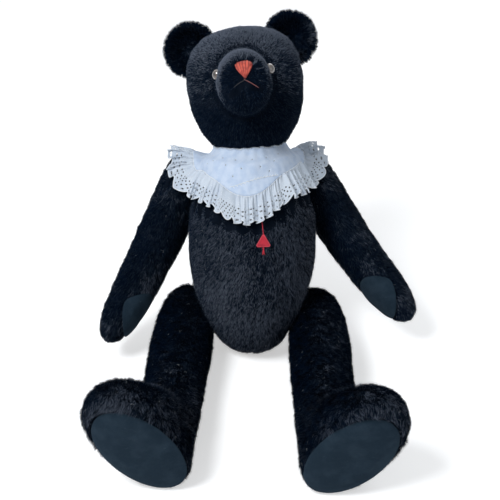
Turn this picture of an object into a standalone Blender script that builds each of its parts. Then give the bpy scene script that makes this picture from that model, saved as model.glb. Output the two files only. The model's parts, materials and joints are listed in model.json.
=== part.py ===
"""A large jointed teddy bear, sitting, with a gathered eyelet collar.

The bear sits on a plane at Z = 0, faces -Y and has +Z up. Left and right are the bear's own, so its left
side is at +X. The origin is the middle of the flat spot under the body. Head, arms and legs each turn on a
disc joint: two hardboard discs, two washers and a cotter pin, shut inside the stuffing.
"""
import math

import bmesh
import bpy
from mathutils import Matrix, Vector
from mathutils.bvhtree import BVHTree

# Driving dimensions, in metres, and angles in degrees

LEAN = 22.0              # the body leans back from upright
SEAT_FLAT_DEPTH = 0.006  # how much of the round bottom the seat flattens

TORSO_LENGTH = 0.346
TORSO_WIDTH = 0.194
TORSO_DEPTH = 0.180
TORSO_OUTLINE = (        # height and half width, as shares of the length and the half width
    (0.01, 0.30), (0.09, 0.66), (0.25, 0.93), (0.46, 1.03),
    (0.67, 1.0), (0.85, 0.84), (0.98, 0.46),
)
BELLY_FORWARD = 0.010    # the belly bulges this far in front of the spine

HEAD_WIDTH = 0.177
HEAD_CROWN = 0.073       # from the widest level up to the crown
HEAD_CHEEK = 0.128       # from the widest level down, before the neck cut
HEAD_LEVEL = 0.108       # height of the widest level over the neck
HEAD_BACK = 0.088
MUZZLE_REACH = 0.152     # from the neck axis to the tip of the muzzle
MUZZLE_WIDTH = 0.080
MUZZLE_HEIGHT = 0.094
MUZZLE_LEVEL = 0.093
FACE_LIFT = 4.0          # the muzzle points this far up from square to the neck
HEAD_ROLL = 6.5          # the head is sewn on with its crown tipped to the bear's right

EAR_RADIUS = 0.040
EAR_THICK = 0.019
EAR_OUT = 0.0765
EAR_UP = 0.155
EAR_TURN = 14.0

EYE_RADIUS = 0.0076
EYE_DOME = 0.0062
EYE_OUT = 0.0385
EYE_UP = 0.108
SHANK_RADIUS = 0.0012
SHANK_LENGTH = 0.009

NOSE_WIDTH = 0.026
NOSE_HEIGHT = 0.025
NOSE_TOP = 0.027         # over the middle of the muzzle
NOSE_PROUD = 0.0022
NOSE_STITCHES = 5
MOUTH_THREAD = 0.0009

ARM_REACH = 0.288        # from the joint to the tip of the paw
ARM_TOP = 0.038          # from the joint to the top of the shoulder
ARM_WIDTH = 0.077
ARM_THICK = 0.068
ARM_BEND = 0.051         # how far the paw curves forward of the upper arm
PAD_LENGTH = 0.080
PAD_WIDTH = 0.054

LEG_REACH = 0.344        # from the joint to the sole
LEG_TOP = 0.038
LEG_WIDTH = 0.090
LEG_THICK = 0.084
SOLE_LENGTH = 0.160
SOLE_WIDTH = 0.100
SOLE_CROWN = 0.009
FOOT_TWIST = 13.0        # the foot turns outward from the thigh
FOOT_BULGE = 1.15        # the foot over its sole, towards the toes
FOOT_SWELL = 1.03        # and across
FOOT_HEIGHT = 0.082      # from the sole back to the instep

FELT = 0.0016
CLEAR = 0.0003           # clearance between neighbours that touch
SKIN = 0.0030            # cloth and stuffing between a land and its disc
LAND_GAP = 0.0006        # between the two flat lands of a joint

DISC_THICK = 0.003
WASHER_RADIUS = 0.0080
WASHER_THICK = 0.0009
PIN_WIRE = 0.0007        # radius of the cotter pin's wire
PIN_SPREAD = 0.0009      # each leg of the pin, from the axis
PIN_ROOM = 0.0065        # depth of the pocket that the pin's eye or curl needs
NECK_DISC = 0.031
ARM_DISC = 0.021
LEG_DISC = 0.026

COLLAR_NECK = 0.056      # radius of the neckline
COLLAR_CLOTH = 0.0012
COLLAR_SHIFT = -0.004    # the collar has slipped a little to the bear's right
COLLAR_GAP = 0.0068      # between the yoke and the frill, along the cloth
YOKE_FRONT = 0.066       # yoke, from neckline to frill seam
YOKE_SIDE = 0.056
YOKE_DIP = 0.013         # the yoke is this much shallower between front and sides
YOKE_BACK = 0.050
FRILL_DEPTH = 0.040
FRILL_FLARE = 0.85       # how far the frill stands off the shoulders, 0 lying on them and 1 straight out
FRONT_FLARE = 0.20
FRILL_GATHERS = 30
FRILL_WAVE = 0.0050      # half height of a gather at the hem
FRILL_SCALLOP = 0.0030
BINDING_RADIUS = 0.0016
BUTTON_RADIUS = 0.0065

TAG_SIDE = 0.020
TAG_THICK = 0.0016
TAG_OUT = 0.0165         # to the bear's left of the middle
TAG_DROP = 0.010         # from the hem of the frill down to the tag
TAG_THREAD = 0.0005
TASSEL_LENGTH = 0.012

# How each limb lies: the way its joint faces, in the body's own frame, and its swing from hanging straight
# (arms) or from straight ahead (legs)

JOINTS = {
    "left_arm": {"side": 1, "yaw": 38.0, "pitch": 18.0, "swing": 22.5, "depth": 0.0075},
    "right_arm": {"side": -1, "yaw": 20.0, "pitch": 18.0, "swing": 12.0, "depth": 0.0075},
    "left_leg": {"side": 1, "splay": 1.0, "roll": 23.1, "swing": 1.95, "depth": 0.017},
    "right_leg": {"side": -1, "splay": 4.2, "roll": 23.1, "swing": 2.10, "depth": 0.017},
}
NECK_LAND_DEPTH = 0.012

COLOURS = {
    "pile": (0.010, 0.012, 0.018, 1.0),
    "felt": (0.022, 0.031, 0.042, 1.0),
    "cotton": (0.80, 0.83, 0.88, 1.0),
    "coral_thread": (0.60, 0.09, 0.05, 1.0),
    "red_card": (0.55, 0.02, 0.03, 1.0),
    "glass": (0.10, 0.045, 0.02, 1.0),
    "hardboard": (0.23, 0.13, 0.07, 1.0),
    "steel": (0.55, 0.56, 0.58, 1.0),
}
ROUGHNESS = {"glass": 0.08, "steel": 0.35, "red_card": 0.5, "coral_thread": 0.6}

PARTS = "jointed_teddy_bear"
CUTTERS = "cutters"
RING_SIDES = 10
PAD_SIDES = 12


# Objects, materials and frames

def clear_scene():
    for old in list(bpy.data.objects):
        bpy.data.objects.remove(old, do_unlink=True)


def collection(name):
    found = bpy.data.collections.get(name)
    if found is None:
        found = bpy.data.collections.new(name)
        bpy.context.scene.collection.children.link(found)
    return found


def material(name, kind):
    made = bpy.data.materials.new(name)
    made.use_nodes = True
    shader = made.node_tree.nodes["Principled BSDF"]
    shader.inputs["Base Color"].default_value = COLOURS[kind]
    shader.inputs["Roughness"].default_value = ROUGHNESS.get(kind, 0.9)
    shader.inputs["Metallic"].default_value = 1.0 if kind == "steel" else 0.0
    made.diffuse_color = COLOURS[kind]
    return made


def put(thing, matrix, carrier=None):
    """Place an object by a world matrix, carried by an empty given as (empty, its matrix)."""
    if carrier:
        thing.parent = carrier[0]
        thing.matrix_parent_inverse = carrier[1].inverted()
    thing.matrix_basis = matrix


def add_part(name, data, kind, matrix, carrier):
    part = bpy.data.objects.new(name, data)
    collection(PARTS).objects.link(part)
    data.materials.append(material(name, kind))
    put(part, matrix, carrier)
    return part


def add_cutter(name, data, matrix):
    cutter = bpy.data.objects.new(name, data)
    collection(CUTTERS).objects.link(cutter)
    cutter.hide_render = True
    cutter.display_type = "WIRE"
    put(cutter, matrix)
    return cutter


def add_empty(name, matrix, carrier=None):
    empty = bpy.data.objects.new(name, None)
    collection(PARTS).objects.link(empty)
    put(empty, matrix, carrier)
    return empty, matrix


def frame(origin, along, outward):
    """A matrix with X near along, Z on outward and its origin at a point."""
    z = Vector(outward).normalized()
    x = Vector(along)
    x = (x - z * x.dot(z)).normalized()
    y = z.cross(x)
    turn = Matrix((x, y, z)).transposed().to_4x4()
    return Matrix.Translation(Vector(origin)) @ turn


def turn_about(axis, degrees):
    return Matrix.Rotation(math.radians(degrees), 4, axis)


# Soft forms, turned pieces and cuts

def ring_points(place, half_width, half_top, half_bottom, fullness, sides):
    """One cage ring, a superellipse with its own height above and below its middle."""
    shrink = (4 + 2 * math.cos(2 * math.pi / sides)) / 6
    points = []
    for step in range(sides):
        angle = 2 * math.pi * (step + 0.5) / sides
        across, up = math.cos(angle), math.sin(angle)
        x = math.copysign(abs(across) ** (2 / fullness), across) * half_width
        y = math.copysign(abs(up) ** (2 / fullness), up) * (half_top if up > 0 else half_bottom)
        points.append(place(x / shrink, y / shrink))
    return points


def loft(name, rings, first_tip, last_tip):
    """A closed cage through rings of points, ending in two tips."""
    mesh = bmesh.new()
    loops = [[mesh.verts.new(point) for point in ring] for ring in rings]
    count = len(loops[0])
    for low, high in zip(loops, loops[1:]):
        for i in range(count):
            j = (i + 1) % count
            mesh.faces.new((low[i], low[j], high[j], high[i]))
    start, end = mesh.verts.new(first_tip), mesh.verts.new(last_tip)
    for i in range(count):
        j = (i + 1) % count
        mesh.faces.new((start, loops[0][j], loops[0][i]))
        mesh.faces.new((end, loops[-1][i], loops[-1][j]))
    bmesh.ops.recalc_face_normals(mesh, faces=mesh.faces)
    data = bpy.data.meshes.new(name)
    mesh.to_mesh(data)
    mesh.free()
    data.shade_smooth()
    return data


def round_off(part, levels=1):
    rounding = part.modifiers.new("rounding", "SUBSURF")
    rounding.levels = levels
    rounding.render_levels = levels
    return rounding


def finished_mesh(part):
    """The object's mesh with its modifiers, in world coordinates."""
    bpy.context.view_layer.update()
    graph = bpy.context.evaluated_depsgraph_get()
    data = bpy.data.meshes.new_from_object(part.evaluated_get(graph))
    data.transform(part.matrix_world)
    return data


def smooth_points(part, rounding):
    """Dense points on the rounded surface, for finding where a plane would touch it."""
    kept = rounding.levels
    rounding.levels = 4
    data = finished_mesh(part)
    rounding.levels = kept
    points = [vertex.co.copy() for vertex in data.vertices]
    bpy.data.meshes.remove(data)
    return points


def surface_tree(parts):
    """A search tree over the finished surfaces of several objects."""
    points, faces = [], []
    for part in parts:
        data = finished_mesh(part)
        first = len(points)
        points += [vertex.co.copy() for vertex in data.vertices]
        faces += [[first + i for i in face.vertices] for face in data.polygons]
        bpy.data.meshes.remove(data)
    return BVHTree.FromPolygons(points, faces)


def turned_mesh(name, profile, closed):
    data = bpy.data.meshes.new(name)
    edges = [(i, i + 1) for i in range(len(profile) - 1)]
    if closed:
        edges.append((len(profile) - 1, 0))
    data.from_pydata([(r, 0.0, z) for r, z in profile], edges, [])
    return data


def turn(part, steps):
    """Turn a profile about the object's Z axis."""
    screw = part.modifiers.new("turning", "SCREW")
    screw.steps = steps
    screw.render_steps = steps
    screw.use_merge_vertices = True
    screw.merge_threshold = 0.00001
    screw.use_smooth_shade = True
    return part


def cut(part, cutter):
    boolean = part.modifiers.new(cutter.name, "BOOLEAN")
    boolean.operation = "DIFFERENCE"
    boolean.solver = "EXACT"
    boolean.object = cutter


def half_space(name, matrix, reach=0.6):
    """A box whose lower face is the plane Z = 0 of a frame, which cuts off all that is above it."""
    mesh = bmesh.new()
    lifted = Matrix.Translation((0, 0, reach / 2))
    bmesh.ops.create_cube(mesh, size=reach, matrix=lifted)
    data = bpy.data.meshes.new(name)
    mesh.to_mesh(data)
    mesh.free()
    return add_cutter(name, data, matrix)


def lifted_off(points, ways, heights, faces, tree):
    """Raise a sheet off a surface: the lowest corner of each triangle that cuts it moves its own way."""
    points, heights = list(points), list(heights)
    halves = [tuple(face[i] for i in pick if i < len(face)) for face in faces
              for pick in ((0, 1, 2), (0, 2, 3), (0, 1, 3), (1, 2, 3))]
    halves = [half for half in halves if len(half) == 3]
    for _ in range(160):
        cutting = {pair[0] for pair in BVHTree.FromPolygons(points, halves).overlap(tree)}
        if not cutting:
            break
        for corner in {min(halves[index], key=lambda i: heights[i]) for index in cutting}:
            points[corner] = points[corner] + ways[corner] * 2 * CLEAR
            heights[corner] += 2 * CLEAR
    return [point + way * 2 * CLEAR for point, way in zip(points, ways)]


def laid_shell(name, grid, closed, kind, carrier, lower, upper):
    """A closed sheet between two offsets of a grid of (point, normal) rows."""
    mesh = bmesh.new()
    rows, columns = len(grid), len(grid[0])
    under = [[mesh.verts.new(p + n * lower(i, j)) for j, (p, n) in enumerate(row)]
             for i, row in enumerate(grid)]
    over = [[mesh.verts.new(p + n * upper(i, j)) for j, (p, n) in enumerate(row)]
            for i, row in enumerate(grid)]
    last = columns if closed else columns - 1
    for i in range(rows - 1):
        for j in range(last):
            k = (j + 1) % columns
            mesh.faces.new((over[i][j], over[i][k], over[i + 1][k], over[i + 1][j]))
            mesh.faces.new((under[i][j], under[i + 1][j], under[i + 1][k], under[i][k]))
    for j in range(last):
        k = (j + 1) % columns
        mesh.faces.new((under[0][j], under[0][k], over[0][k], over[0][j]))
        mesh.faces.new((under[-1][j], over[-1][j], over[-1][k], under[-1][k]))
    if not closed:
        for i in range(rows - 1):
            mesh.faces.new((under[i][0], over[i][0], over[i + 1][0], under[i + 1][0]))
            mesh.faces.new((under[i][-1], under[i + 1][-1], over[i + 1][-1], over[i][-1]))
    bmesh.ops.recalc_face_normals(mesh, faces=mesh.faces)
    data = bpy.data.meshes.new(name)
    mesh.to_mesh(data)
    mesh.free()
    data.shade_smooth()
    data.set_sharp_from_angle(angle=math.radians(50))
    data.transform(carrier[1].inverted())
    return add_part(name, data, kind, carrier[1], carrier)


def wire(name, points, radius, kind, matrix, carrier, roundness=1):
    """A tube of a thread or wire through points."""
    data = bpy.data.curves.new(name, "CURVE")
    data.dimensions = "3D"
    data.bevel_depth = radius
    data.bevel_resolution = roundness
    data.use_fill_caps = True
    spline = data.splines.new("POLY")
    spline.points.add(len(points) - 1)
    for target, point in zip(spline.points, points):
        target.co = (*point, 1.0)
    return add_part(name, data, kind, matrix, carrier)


# The body

def spine_frame():
    return turn_about("X", -LEAN)


def make_torso_form():
    """The stuffed body, leaning back, set so that its lowest point is just under the seat plane."""
    rings = []
    for height, width in TORSO_OUTLINE:
        z = height * TORSO_LENGTH
        forward = BELLY_FORWARD * math.sin(math.pi * height)
        rings.append(ring_points(
            lambda x, y, z=z, forward=forward: (x, y - forward, z),
            width * TORSO_WIDTH / 2, width * TORSO_DEPTH / 2, width * TORSO_DEPTH / 2, 2.1, RING_SIDES))
    cage = loft("torso", rings, (0, 0, 0), (0, 0, TORSO_LENGTH))
    torso = add_part("torso", cage, "pile", spine_frame(), None)
    rounding = round_off(torso)
    lowest = min(smooth_points(torso, rounding), key=lambda point: point.z)
    shift = Vector((0, -lowest.y, -lowest.z - SEAT_FLAT_DEPTH))
    carrier = add_empty("body_frame", Matrix.Translation(shift) @ spine_frame())
    put(torso, carrier[1], carrier)
    return torso, rounding, carrier


def land_frame(points, outward, along, depth):
    """The frame of a flat land that is cut into a round form where it faces outward."""
    z = Vector(outward).normalized()
    touch = max(points, key=lambda point: point.dot(z))
    near = [point for point in points if (point - touch).length < 0.012]
    middle = sum(near, Vector()) / len(near)
    middle += z * (touch.dot(z) - depth - middle.dot(z))
    return frame(middle, along, z)


def arm_land(points, body, joint):
    side, yaw, pitch = joint["side"], math.radians(joint["yaw"]), math.radians(joint["pitch"])
    outward = Vector((side * math.cos(pitch) * math.cos(yaw), math.cos(pitch) * math.sin(yaw), math.sin(pitch)))
    turned = body.to_3x3()
    hanging = land_frame(points, turned @ outward, turned @ Vector((0, 0, -1)), joint["depth"])
    return hanging @ turn_about("Z", -side * joint["swing"])


def leg_land(points, joint):
    side, splay, roll = joint["side"], math.radians(joint["splay"]), math.radians(joint["roll"])
    ahead = Vector((side * math.sin(splay), -math.cos(splay), 0))
    sideways = Vector((side * math.cos(splay), math.sin(splay), 0))
    outward = sideways * math.cos(roll) - Vector((0, 0, 1)) * math.sin(roll)
    return land_frame(points, outward, ahead, joint["depth"]) @ turn_about("Z", side * joint["swing"])


def neck_land(points, body):
    outward = body.to_3x3() @ Vector((0, 0, 1))
    ahead = body.to_3x3() @ Vector((0, -1, 0))
    return land_frame(points, outward, ahead, NECK_LAND_DEPTH)


# The disc joints

def stack():
    """Heights over the land, on either side: disc, washer and the end of the pin's straight run."""
    disc = LAND_GAP / 2 + SKIN + CLEAR
    washer = disc + DISC_THICK + CLEAR
    pin = washer + WASHER_THICK + CLEAR + PIN_WIRE
    return disc, washer, pin


def pocket(part, name, matrix, disc_radius):
    """Cut the room for a disc, its washer and the pin's end, open through the pin's hole."""
    disc, _, pin = stack()
    hole = PIN_SPREAD + PIN_WIRE + 2 * CLEAR
    deep = pin + PIN_ROOM
    steps = 10
    room = (disc_radius + CLEAR) / math.cos(math.pi / steps)
    profile = [(0, deep), (room, deep), (room, disc - CLEAR), (hole, disc - CLEAR), (hole, -0.001), (0, -0.001)]
    cutter = add_cutter(name, turned_mesh(name, profile, closed=False), matrix)
    cut(part, turn(cutter, steps))


def ring_part(name, outer, height, low, kind, steps, matrix, carrier):
    """A flat ring about the joint's axis, with the pin's hole in it."""
    inner = PIN_SPREAD + PIN_WIRE + CLEAR
    profile = [(outer, low + height), (outer, low), (inner, low), (inner, low + height)]
    ring = add_part(name, turned_mesh(name, profile, closed=True), kind, matrix, carrier)
    return turn(ring, steps)


def pin_points():
    """The cotter pin: an eye over the limb's washer, two legs, and an outward curl on each leg."""
    pin = stack()[2]
    eye = 0.0022
    legs = []
    for hand in (1, -1):
        curl = [(hand * 0.0050, -pin - 0.0018), (hand * 0.0036, -pin), (hand * 0.0016, -pin)]
        legs.append(curl + [(hand * PIN_SPREAD, -pin + PIN_WIRE), (hand * PIN_SPREAD, pin)])
    head = []
    for step in range(4):
        angle = math.radians(-45 + 90 * step)
        head.append((eye * math.cos(angle), pin + 0.0018 + eye * math.sin(angle)))
    flat = legs[0] + head + legs[1][::-1]
    return [(x, 0.0, z) for x, z in flat]


def cut_lands(name, matrix, body_part, limb_part):
    """Cut the two flat lands of a joint, with their gap between them."""
    mirrored = matrix @ turn_about("X", 180)
    gap = Matrix.Translation((0, 0, -LAND_GAP / 2))
    cut(body_part, half_space(f"{name}_body_land", matrix @ gap))
    cut(limb_part, half_space(f"{name}_limb_land", mirrored @ gap))


def fit_joint(name, matrix, body_part, limb_part, disc_radius, body, limb):
    """Cut both pockets, and fit the discs, washers and pin."""
    mirrored = matrix @ turn_about("X", 180)
    pocket(body_part, f"{name}_body_pocket", mirrored, disc_radius)
    pocket(limb_part, f"{name}_limb_pocket", matrix, disc_radius)
    disc, washer, _ = stack()
    for holder, place, carrier in (("body", mirrored, body), ("limb", matrix, limb)):
        ring_part(f"{name}_{holder}_disc", disc_radius, DISC_THICK, disc, "hardboard", 12, place, carrier)
        ring_part(f"{name}_{holder}_washer", WASHER_RADIUS, WASHER_THICK, washer, "steel", 8, place, carrier)
    wire(f"{name}_cotter_pin", pin_points(), PIN_WIRE, "steel", matrix, limb, roundness=0)


# The head

HEAD_STATIONS = (        # place along the face, then half width, crown and cheek as shares of the head's
    (-0.96, 0.40, 0.40, 0.32), (-0.62, 0.78, 0.80, 0.72), (-0.10, 1.02, 1.01, 1.0),
    (0.40, 0.98, 0.97, 0.99), (0.72, 0.76, 0.72, 0.80),
)
MUZZLE_STATIONS = (      # place along the muzzle as a share of its reach, and size as a share of its own
    (0.50, 1.06), (0.64, 1.02), (0.82, 1.02), (0.94, 0.86), (0.99, 0.50),
)


def face_frame(neck):
    """From the neck: X to the bear's left, Y up the face, Z out along the muzzle."""
    ahead = neck.to_3x3() @ Vector((1, 0, 0))
    up = neck.to_3x3() @ Vector((0, 0, 1))
    tilt = math.radians(FACE_LIFT)
    out = ahead * math.cos(tilt) + up * math.sin(tilt)
    rise = up * math.cos(tilt) - ahead * math.sin(tilt)
    turn_to = Matrix((rise.cross(out), rise, out)).transposed().to_4x4()
    return Matrix.Translation(neck.to_translation()) @ turn_to @ turn_about("Z", HEAD_ROLL)


def make_head(face, carrier):
    """The stuffed head, lofted from the back of the skull to the tip of the muzzle."""
    rings = []
    for place, wide, crown, cheek in HEAD_STATIONS:
        depth = place * HEAD_BACK
        rings.append(ring_points(
            lambda x, y, depth=depth: (x, HEAD_LEVEL + y, depth),
            wide * HEAD_WIDTH / 2, crown * HEAD_CROWN, cheek * HEAD_CHEEK, 2.35, RING_SIDES))
    for place, size in MUZZLE_STATIONS:
        depth = place * MUZZLE_REACH
        rings.append(ring_points(
            lambda x, y, depth=depth: (x, MUZZLE_LEVEL + y, depth),
            size * MUZZLE_WIDTH / 2, size * MUZZLE_HEIGHT / 2, size * MUZZLE_HEIGHT / 2, 2.1, RING_SIDES))
    cage = loft("head", rings, (0, HEAD_LEVEL, -HEAD_BACK), (0, MUZZLE_LEVEL, MUZZLE_REACH))
    head = add_part("head", cage, "pile", face, carrier)
    round_off(head)
    return head


def swollen_cutter(part, name, amount):
    """A copy of a soft form, grown by a clearance, for seating other pieces against it."""
    data = finished_mesh(part)
    normals = [normal.vector.copy() for normal in data.vertex_normals]
    for vertex, normal in zip(data.vertices, normals):
        vertex.co += normal * amount
    data.materials.clear()
    return add_cutter(name, data, Matrix.Identity(4))


def make_ear(side, face, seat, carrier):
    """A cupped round ear, cut along its seam to lie on the head."""
    name = "left_ear" if side > 0 else "right_ear"
    r, t = EAR_RADIUS, EAR_THICK
    profile = [
        (0, -0.10 * t), (0.30 * r, -0.06 * t), (0.66 * r, 0.18 * t), (0.90 * r, 0.44 * t),
        (0.99 * r, 0.30 * t), (r, 0.04 * t), (0.90 * r, -0.26 * t), (0.60 * r, -0.50 * t), (0, -0.56 * t),
    ]
    place = face @ Matrix.Translation((side * EAR_OUT, EAR_UP, -0.004)) @ turn_about("Y", side * EAR_TURN)
    ear = add_part(name, turned_mesh(name, profile, closed=False), "pile", place, carrier)
    turn(ear, 14)
    cut(ear, seat)
    return ear


def eye_profile(extra):
    radius, shank = EYE_RADIUS + extra, SHANK_RADIUS + extra
    dome = [(radius * math.sin(math.radians(a)), (EYE_DOME + extra) * math.cos(math.radians(a)))
            for a in (0, 30, 60, 90)]
    back = -0.0018 - extra
    return dome + [(radius * 0.92, back), (shank, back), (shank, -SHANK_LENGTH - extra), (0, -SHANK_LENGTH - extra)]


def make_eye(side, face, tree, head, carrier):
    """A glass eye on a wire shank, sunk to its edge in the face."""
    name = "left_eye" if side > 0 else "right_eye"
    start = face @ Vector((side * EYE_OUT, EYE_UP, 0.4))
    back = -(face.to_3x3() @ Vector((0, 0, 1)))
    hit, normal, _, _ = tree.ray_cast(start, back)
    outward = (normal * 0.6 - back * 0.4).normalized()
    place = frame(hit - outward * 0.001, face.to_3x3() @ Vector((0, 1, 0)), outward)
    eye = add_part(name, turned_mesh(name, eye_profile(0.0), closed=False), "glass", place, carrier)
    turn(eye, 12)
    socket = add_cutter(f"{name}_socket", turned_mesh(f"{name}_socket", eye_profile(CLEAR), closed=False), place)
    cut(head, turn(socket, 12))


def face_hit(face, tree, across, up):
    """The point and normal on the muzzle straight behind a place seen from the front."""
    start = face @ Vector((across, up, 0.4))
    back = -(face.to_3x3() @ Vector((0, 0, 1)))
    hit, normal, _, _ = tree.ray_cast(start, back)
    return hit, normal


def make_nose(face, tree, carrier):
    """The nose: satin stitches side by side in a triangle, laid on the tip of the muzzle."""
    top = MUZZLE_LEVEL + NOSE_TOP
    columns = 2 * NOSE_STITCHES + 1
    rows = 4
    grid = []
    for i in range(rows):
        down = i / (rows - 1)
        half = NOSE_WIDTH / 2 * (1 - 0.86 * down ** 1.15)
        rise = top - NOSE_HEIGHT * down
        grid.append([face_hit(face, tree, half * (2 * j / (columns - 1) - 1), rise) for j in range(columns)])
    seat = 3 * CLEAR

    def proud(i, j):
        edge = 0.55 if i in (0, rows - 1) or j in (0, columns - 1) else 1.0
        return seat + NOSE_PROUD * edge * (1.0 if j % 2 else 0.78)

    return laid_shell("stitched_nose", grid, False, "coral_thread", carrier, lambda i, j: seat, proud)


def make_mouth(side, face, tree, carrier):
    """One of the two long stitches that run down from the nose."""
    name = "left_mouth_stitch" if side > 0 else "right_mouth_stitch"
    start_up = MUZZLE_LEVEL + NOSE_TOP - NOSE_HEIGHT - 0.003
    points = []
    for step in range(6):
        share = step / 5
        across = side * (0.0015 + 0.021 * share)
        up = start_up - (0.012 if side > 0 else 0.017) * share - 0.003 * math.sin(math.pi * share)
        hit, normal = face_hit(face, tree, across, up)
        points.append(hit + normal * (MOUTH_THREAD + CLEAR))
    return wire(name, points, MOUTH_THREAD, "coral_thread", Matrix.Identity(4), carrier)


# The limbs. In a limb's frame X runs along it, Z faces outward and the front is at -side on Y.

ARM_STATIONS = (         # place, half width, half thickness, then how much of the bend is reached
    (-0.94, 0.46, 0.46, 0.0), (-0.50, 0.90, 0.88, 0.0), (0.08, 1.06, 1.02, 0.0),
    (0.34, 1.0, 1.06, 0.10), (0.60, 0.90, 0.96, 0.40), (0.82, 0.95, 0.90, 0.78), (0.97, 0.60, 0.52, 1.0),
)
LEG_STATIONS = (         # place, half width and half thickness
    (-0.95, 0.42, 0.46), (-0.50, 0.72, 0.84), (0.08, 0.98, 1.04), (0.36, 1.03, 1.04), (0.60, 0.90, 0.94),
)
FOOT_STATIONS = (        # place from the ankle to the sole, and how much of the foot's growth is reached
    (0.0, 0.10), (0.36, 0.92), (0.76, 1.0), (1.4, 0.94),
)


def arm_rings(side):
    rings = []
    for place, wide, thick, bent in ARM_STATIONS:
        x = place * (ARM_REACH if place > 0 else ARM_TOP)
        shift = -side * ARM_BEND * bent
        level = ARM_THICK / 2 + 0.006 * max(place, 0.0)
        rings.append(ring_points(
            lambda a, b, x=x, shift=shift, level=level: (x, shift + a, level + b),
            wide * ARM_WIDTH / 2, thick * ARM_THICK / 2, thick * ARM_THICK / 2, 2.15, 8))
    return rings


def make_arm(name, joint, matrix, carrier):
    level = ARM_THICK / 2
    tips = (-ARM_TOP, 0, level), (ARM_REACH, -joint["side"] * ARM_BEND, level + 0.006)
    arm = add_part(name, loft(name, arm_rings(joint["side"]), *tips), "pile", matrix, carrier)
    round_off(arm)
    return arm


def make_leg(name, joint, matrix, carrier):
    """The stuffed leg: thigh, ankle and a foot that grows forward to the oval of its sole."""
    side, rings = joint["side"], []
    level = LEG_THICK / 2
    heel = 0.86 * LEG_WIDTH / 2
    for place, wide, thick in LEG_STATIONS:
        x = place * (LEG_REACH if place > 0 else LEG_TOP)
        rings.append(ring_points(
            lambda a, b, x=x: (x, a, level + b),
            wide * LEG_WIDTH / 2, thick * LEG_THICK / 2, thick * LEG_THICK / 2, 2.15, RING_SIDES))
    ankle = LEG_REACH - FOOT_HEIGHT - SOLE_CROWN
    for share, grown in FOOT_STATIONS:
        half = heel + (SOLE_LENGTH / 2 * FOOT_BULGE - heel) * grown
        thick = LEG_THICK / 2 + (SOLE_WIDTH / 2 * FOOT_SWELL - LEG_THICK / 2) * grown
        shift = -side * (half - heel)
        twist = foot_twist(side, share)
        rings.append(ring_points(
            lambda a, b, x=ankle + FOOT_HEIGHT * share, shift=shift, twist=twist:
            twist @ Vector((x, shift + a, level + b)), half, thick, thick, 2.15, RING_SIDES))
    tip = Vector((ankle + FOOT_HEIGHT * 1.7, -side * (SOLE_LENGTH / 2 - heel), level))
    cage = loft(name, rings, (-LEG_TOP, 0, level), foot_twist(side, 1.0) @ tip)
    leg = add_part(name, cage, "pile", matrix, carrier)
    round_off(leg)
    end = matrix @ frame((LEG_REACH - SOLE_CROWN - FELT, 0, 0), (0, 0, 1), (1, 0, 0))
    cut(leg, half_space(f"{name}_sole_plane", end, reach=0.3))
    return leg


def foot_twist(side, share):
    """The turn of the foot about the leg's own middle line, from none above the ankle to all at the sole."""
    level = Matrix.Translation((0, 0, LEG_THICK / 2))
    return level @ turn_about("X", -side * FOOT_TWIST * (0.4 + 0.6 * min(share, 1.0))) @ level.inverted()


def make_sole(name, joint, matrix, carrier):
    """The felt sole, an oval that bulges a little over the stuffing."""
    side = joint["side"]
    heel = 0.86 * LEG_WIDTH / 2
    middle = Vector((0, -side * (SOLE_LENGTH / 2 - heel), LEG_THICK / 2))
    twist = foot_twist(side, 1.0)
    base = LEG_REACH - SOLE_CROWN - FELT + CLEAR
    mesh = bmesh.new()
    loops = []
    sides = 20
    for size, height in ((1.0, 0.0), (1.0, FELT), (0.86, FELT + 0.50 * SOLE_CROWN), (0.52, 0.90 * SOLE_CROWN + FELT)):
        loop = []
        for step in range(sides):
            angle = 2 * math.pi * step / sides
            y = size * SOLE_LENGTH / 2 * math.cos(angle)
            z = size * SOLE_WIDTH / 2 * math.sin(angle)
            loop.append(mesh.verts.new(twist @ (middle + Vector((base + height, y, z)))))
        loops.append(loop)
    mesh.faces.new(loops[0])
    for low, high in zip(loops, loops[1:]):
        for i in range(sides):
            j = (i + 1) % sides
            mesh.faces.new((low[i], low[j], high[j], high[i]))
    mesh.faces.new(loops[-1])
    bmesh.ops.recalc_face_normals(mesh, faces=mesh.faces)
    data = bpy.data.meshes.new(name)
    mesh.to_mesh(data)
    mesh.free()
    data.shade_smooth()
    data.set_sharp_from_angle(angle=math.radians(50))
    return add_part(name, data, "felt", matrix, carrier)


def make_pad(name, joint, arm, matrix, carrier):
    """The felt pad on the palm side of a paw, laid on the arm's inner face."""
    side = joint["side"]
    tree = surface_tree([arm])
    inward = matrix.to_3x3() @ Vector((0, 0, 1))
    middle = Vector((ARM_REACH - PAD_LENGTH * 0.72, -side * ARM_BEND * 0.84, -0.1))

    def on_palm(share, step):
        angle = 2 * math.pi * step / PAD_SIDES
        offset = Vector((math.cos(angle) * PAD_LENGTH / 2, math.sin(angle) * PAD_WIDTH / 2, 0)) * share
        start = matrix @ (middle + offset)
        hit, normal, _, _ = tree.ray_cast(start, inward)
        if hit is None:
            hit, normal, _, _ = tree.find_nearest(start - (matrix.to_3x3() @ Vector((0, 0, -0.12))))
        return hit, normal

    spots = [on_palm(0.0, 0)]
    for share in (0.40, 0.74, 1.0):
        spots += [on_palm(share, step) for step in range(PAD_SIDES)]
    return felt_patch(name, spots, tree, carrier)


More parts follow.
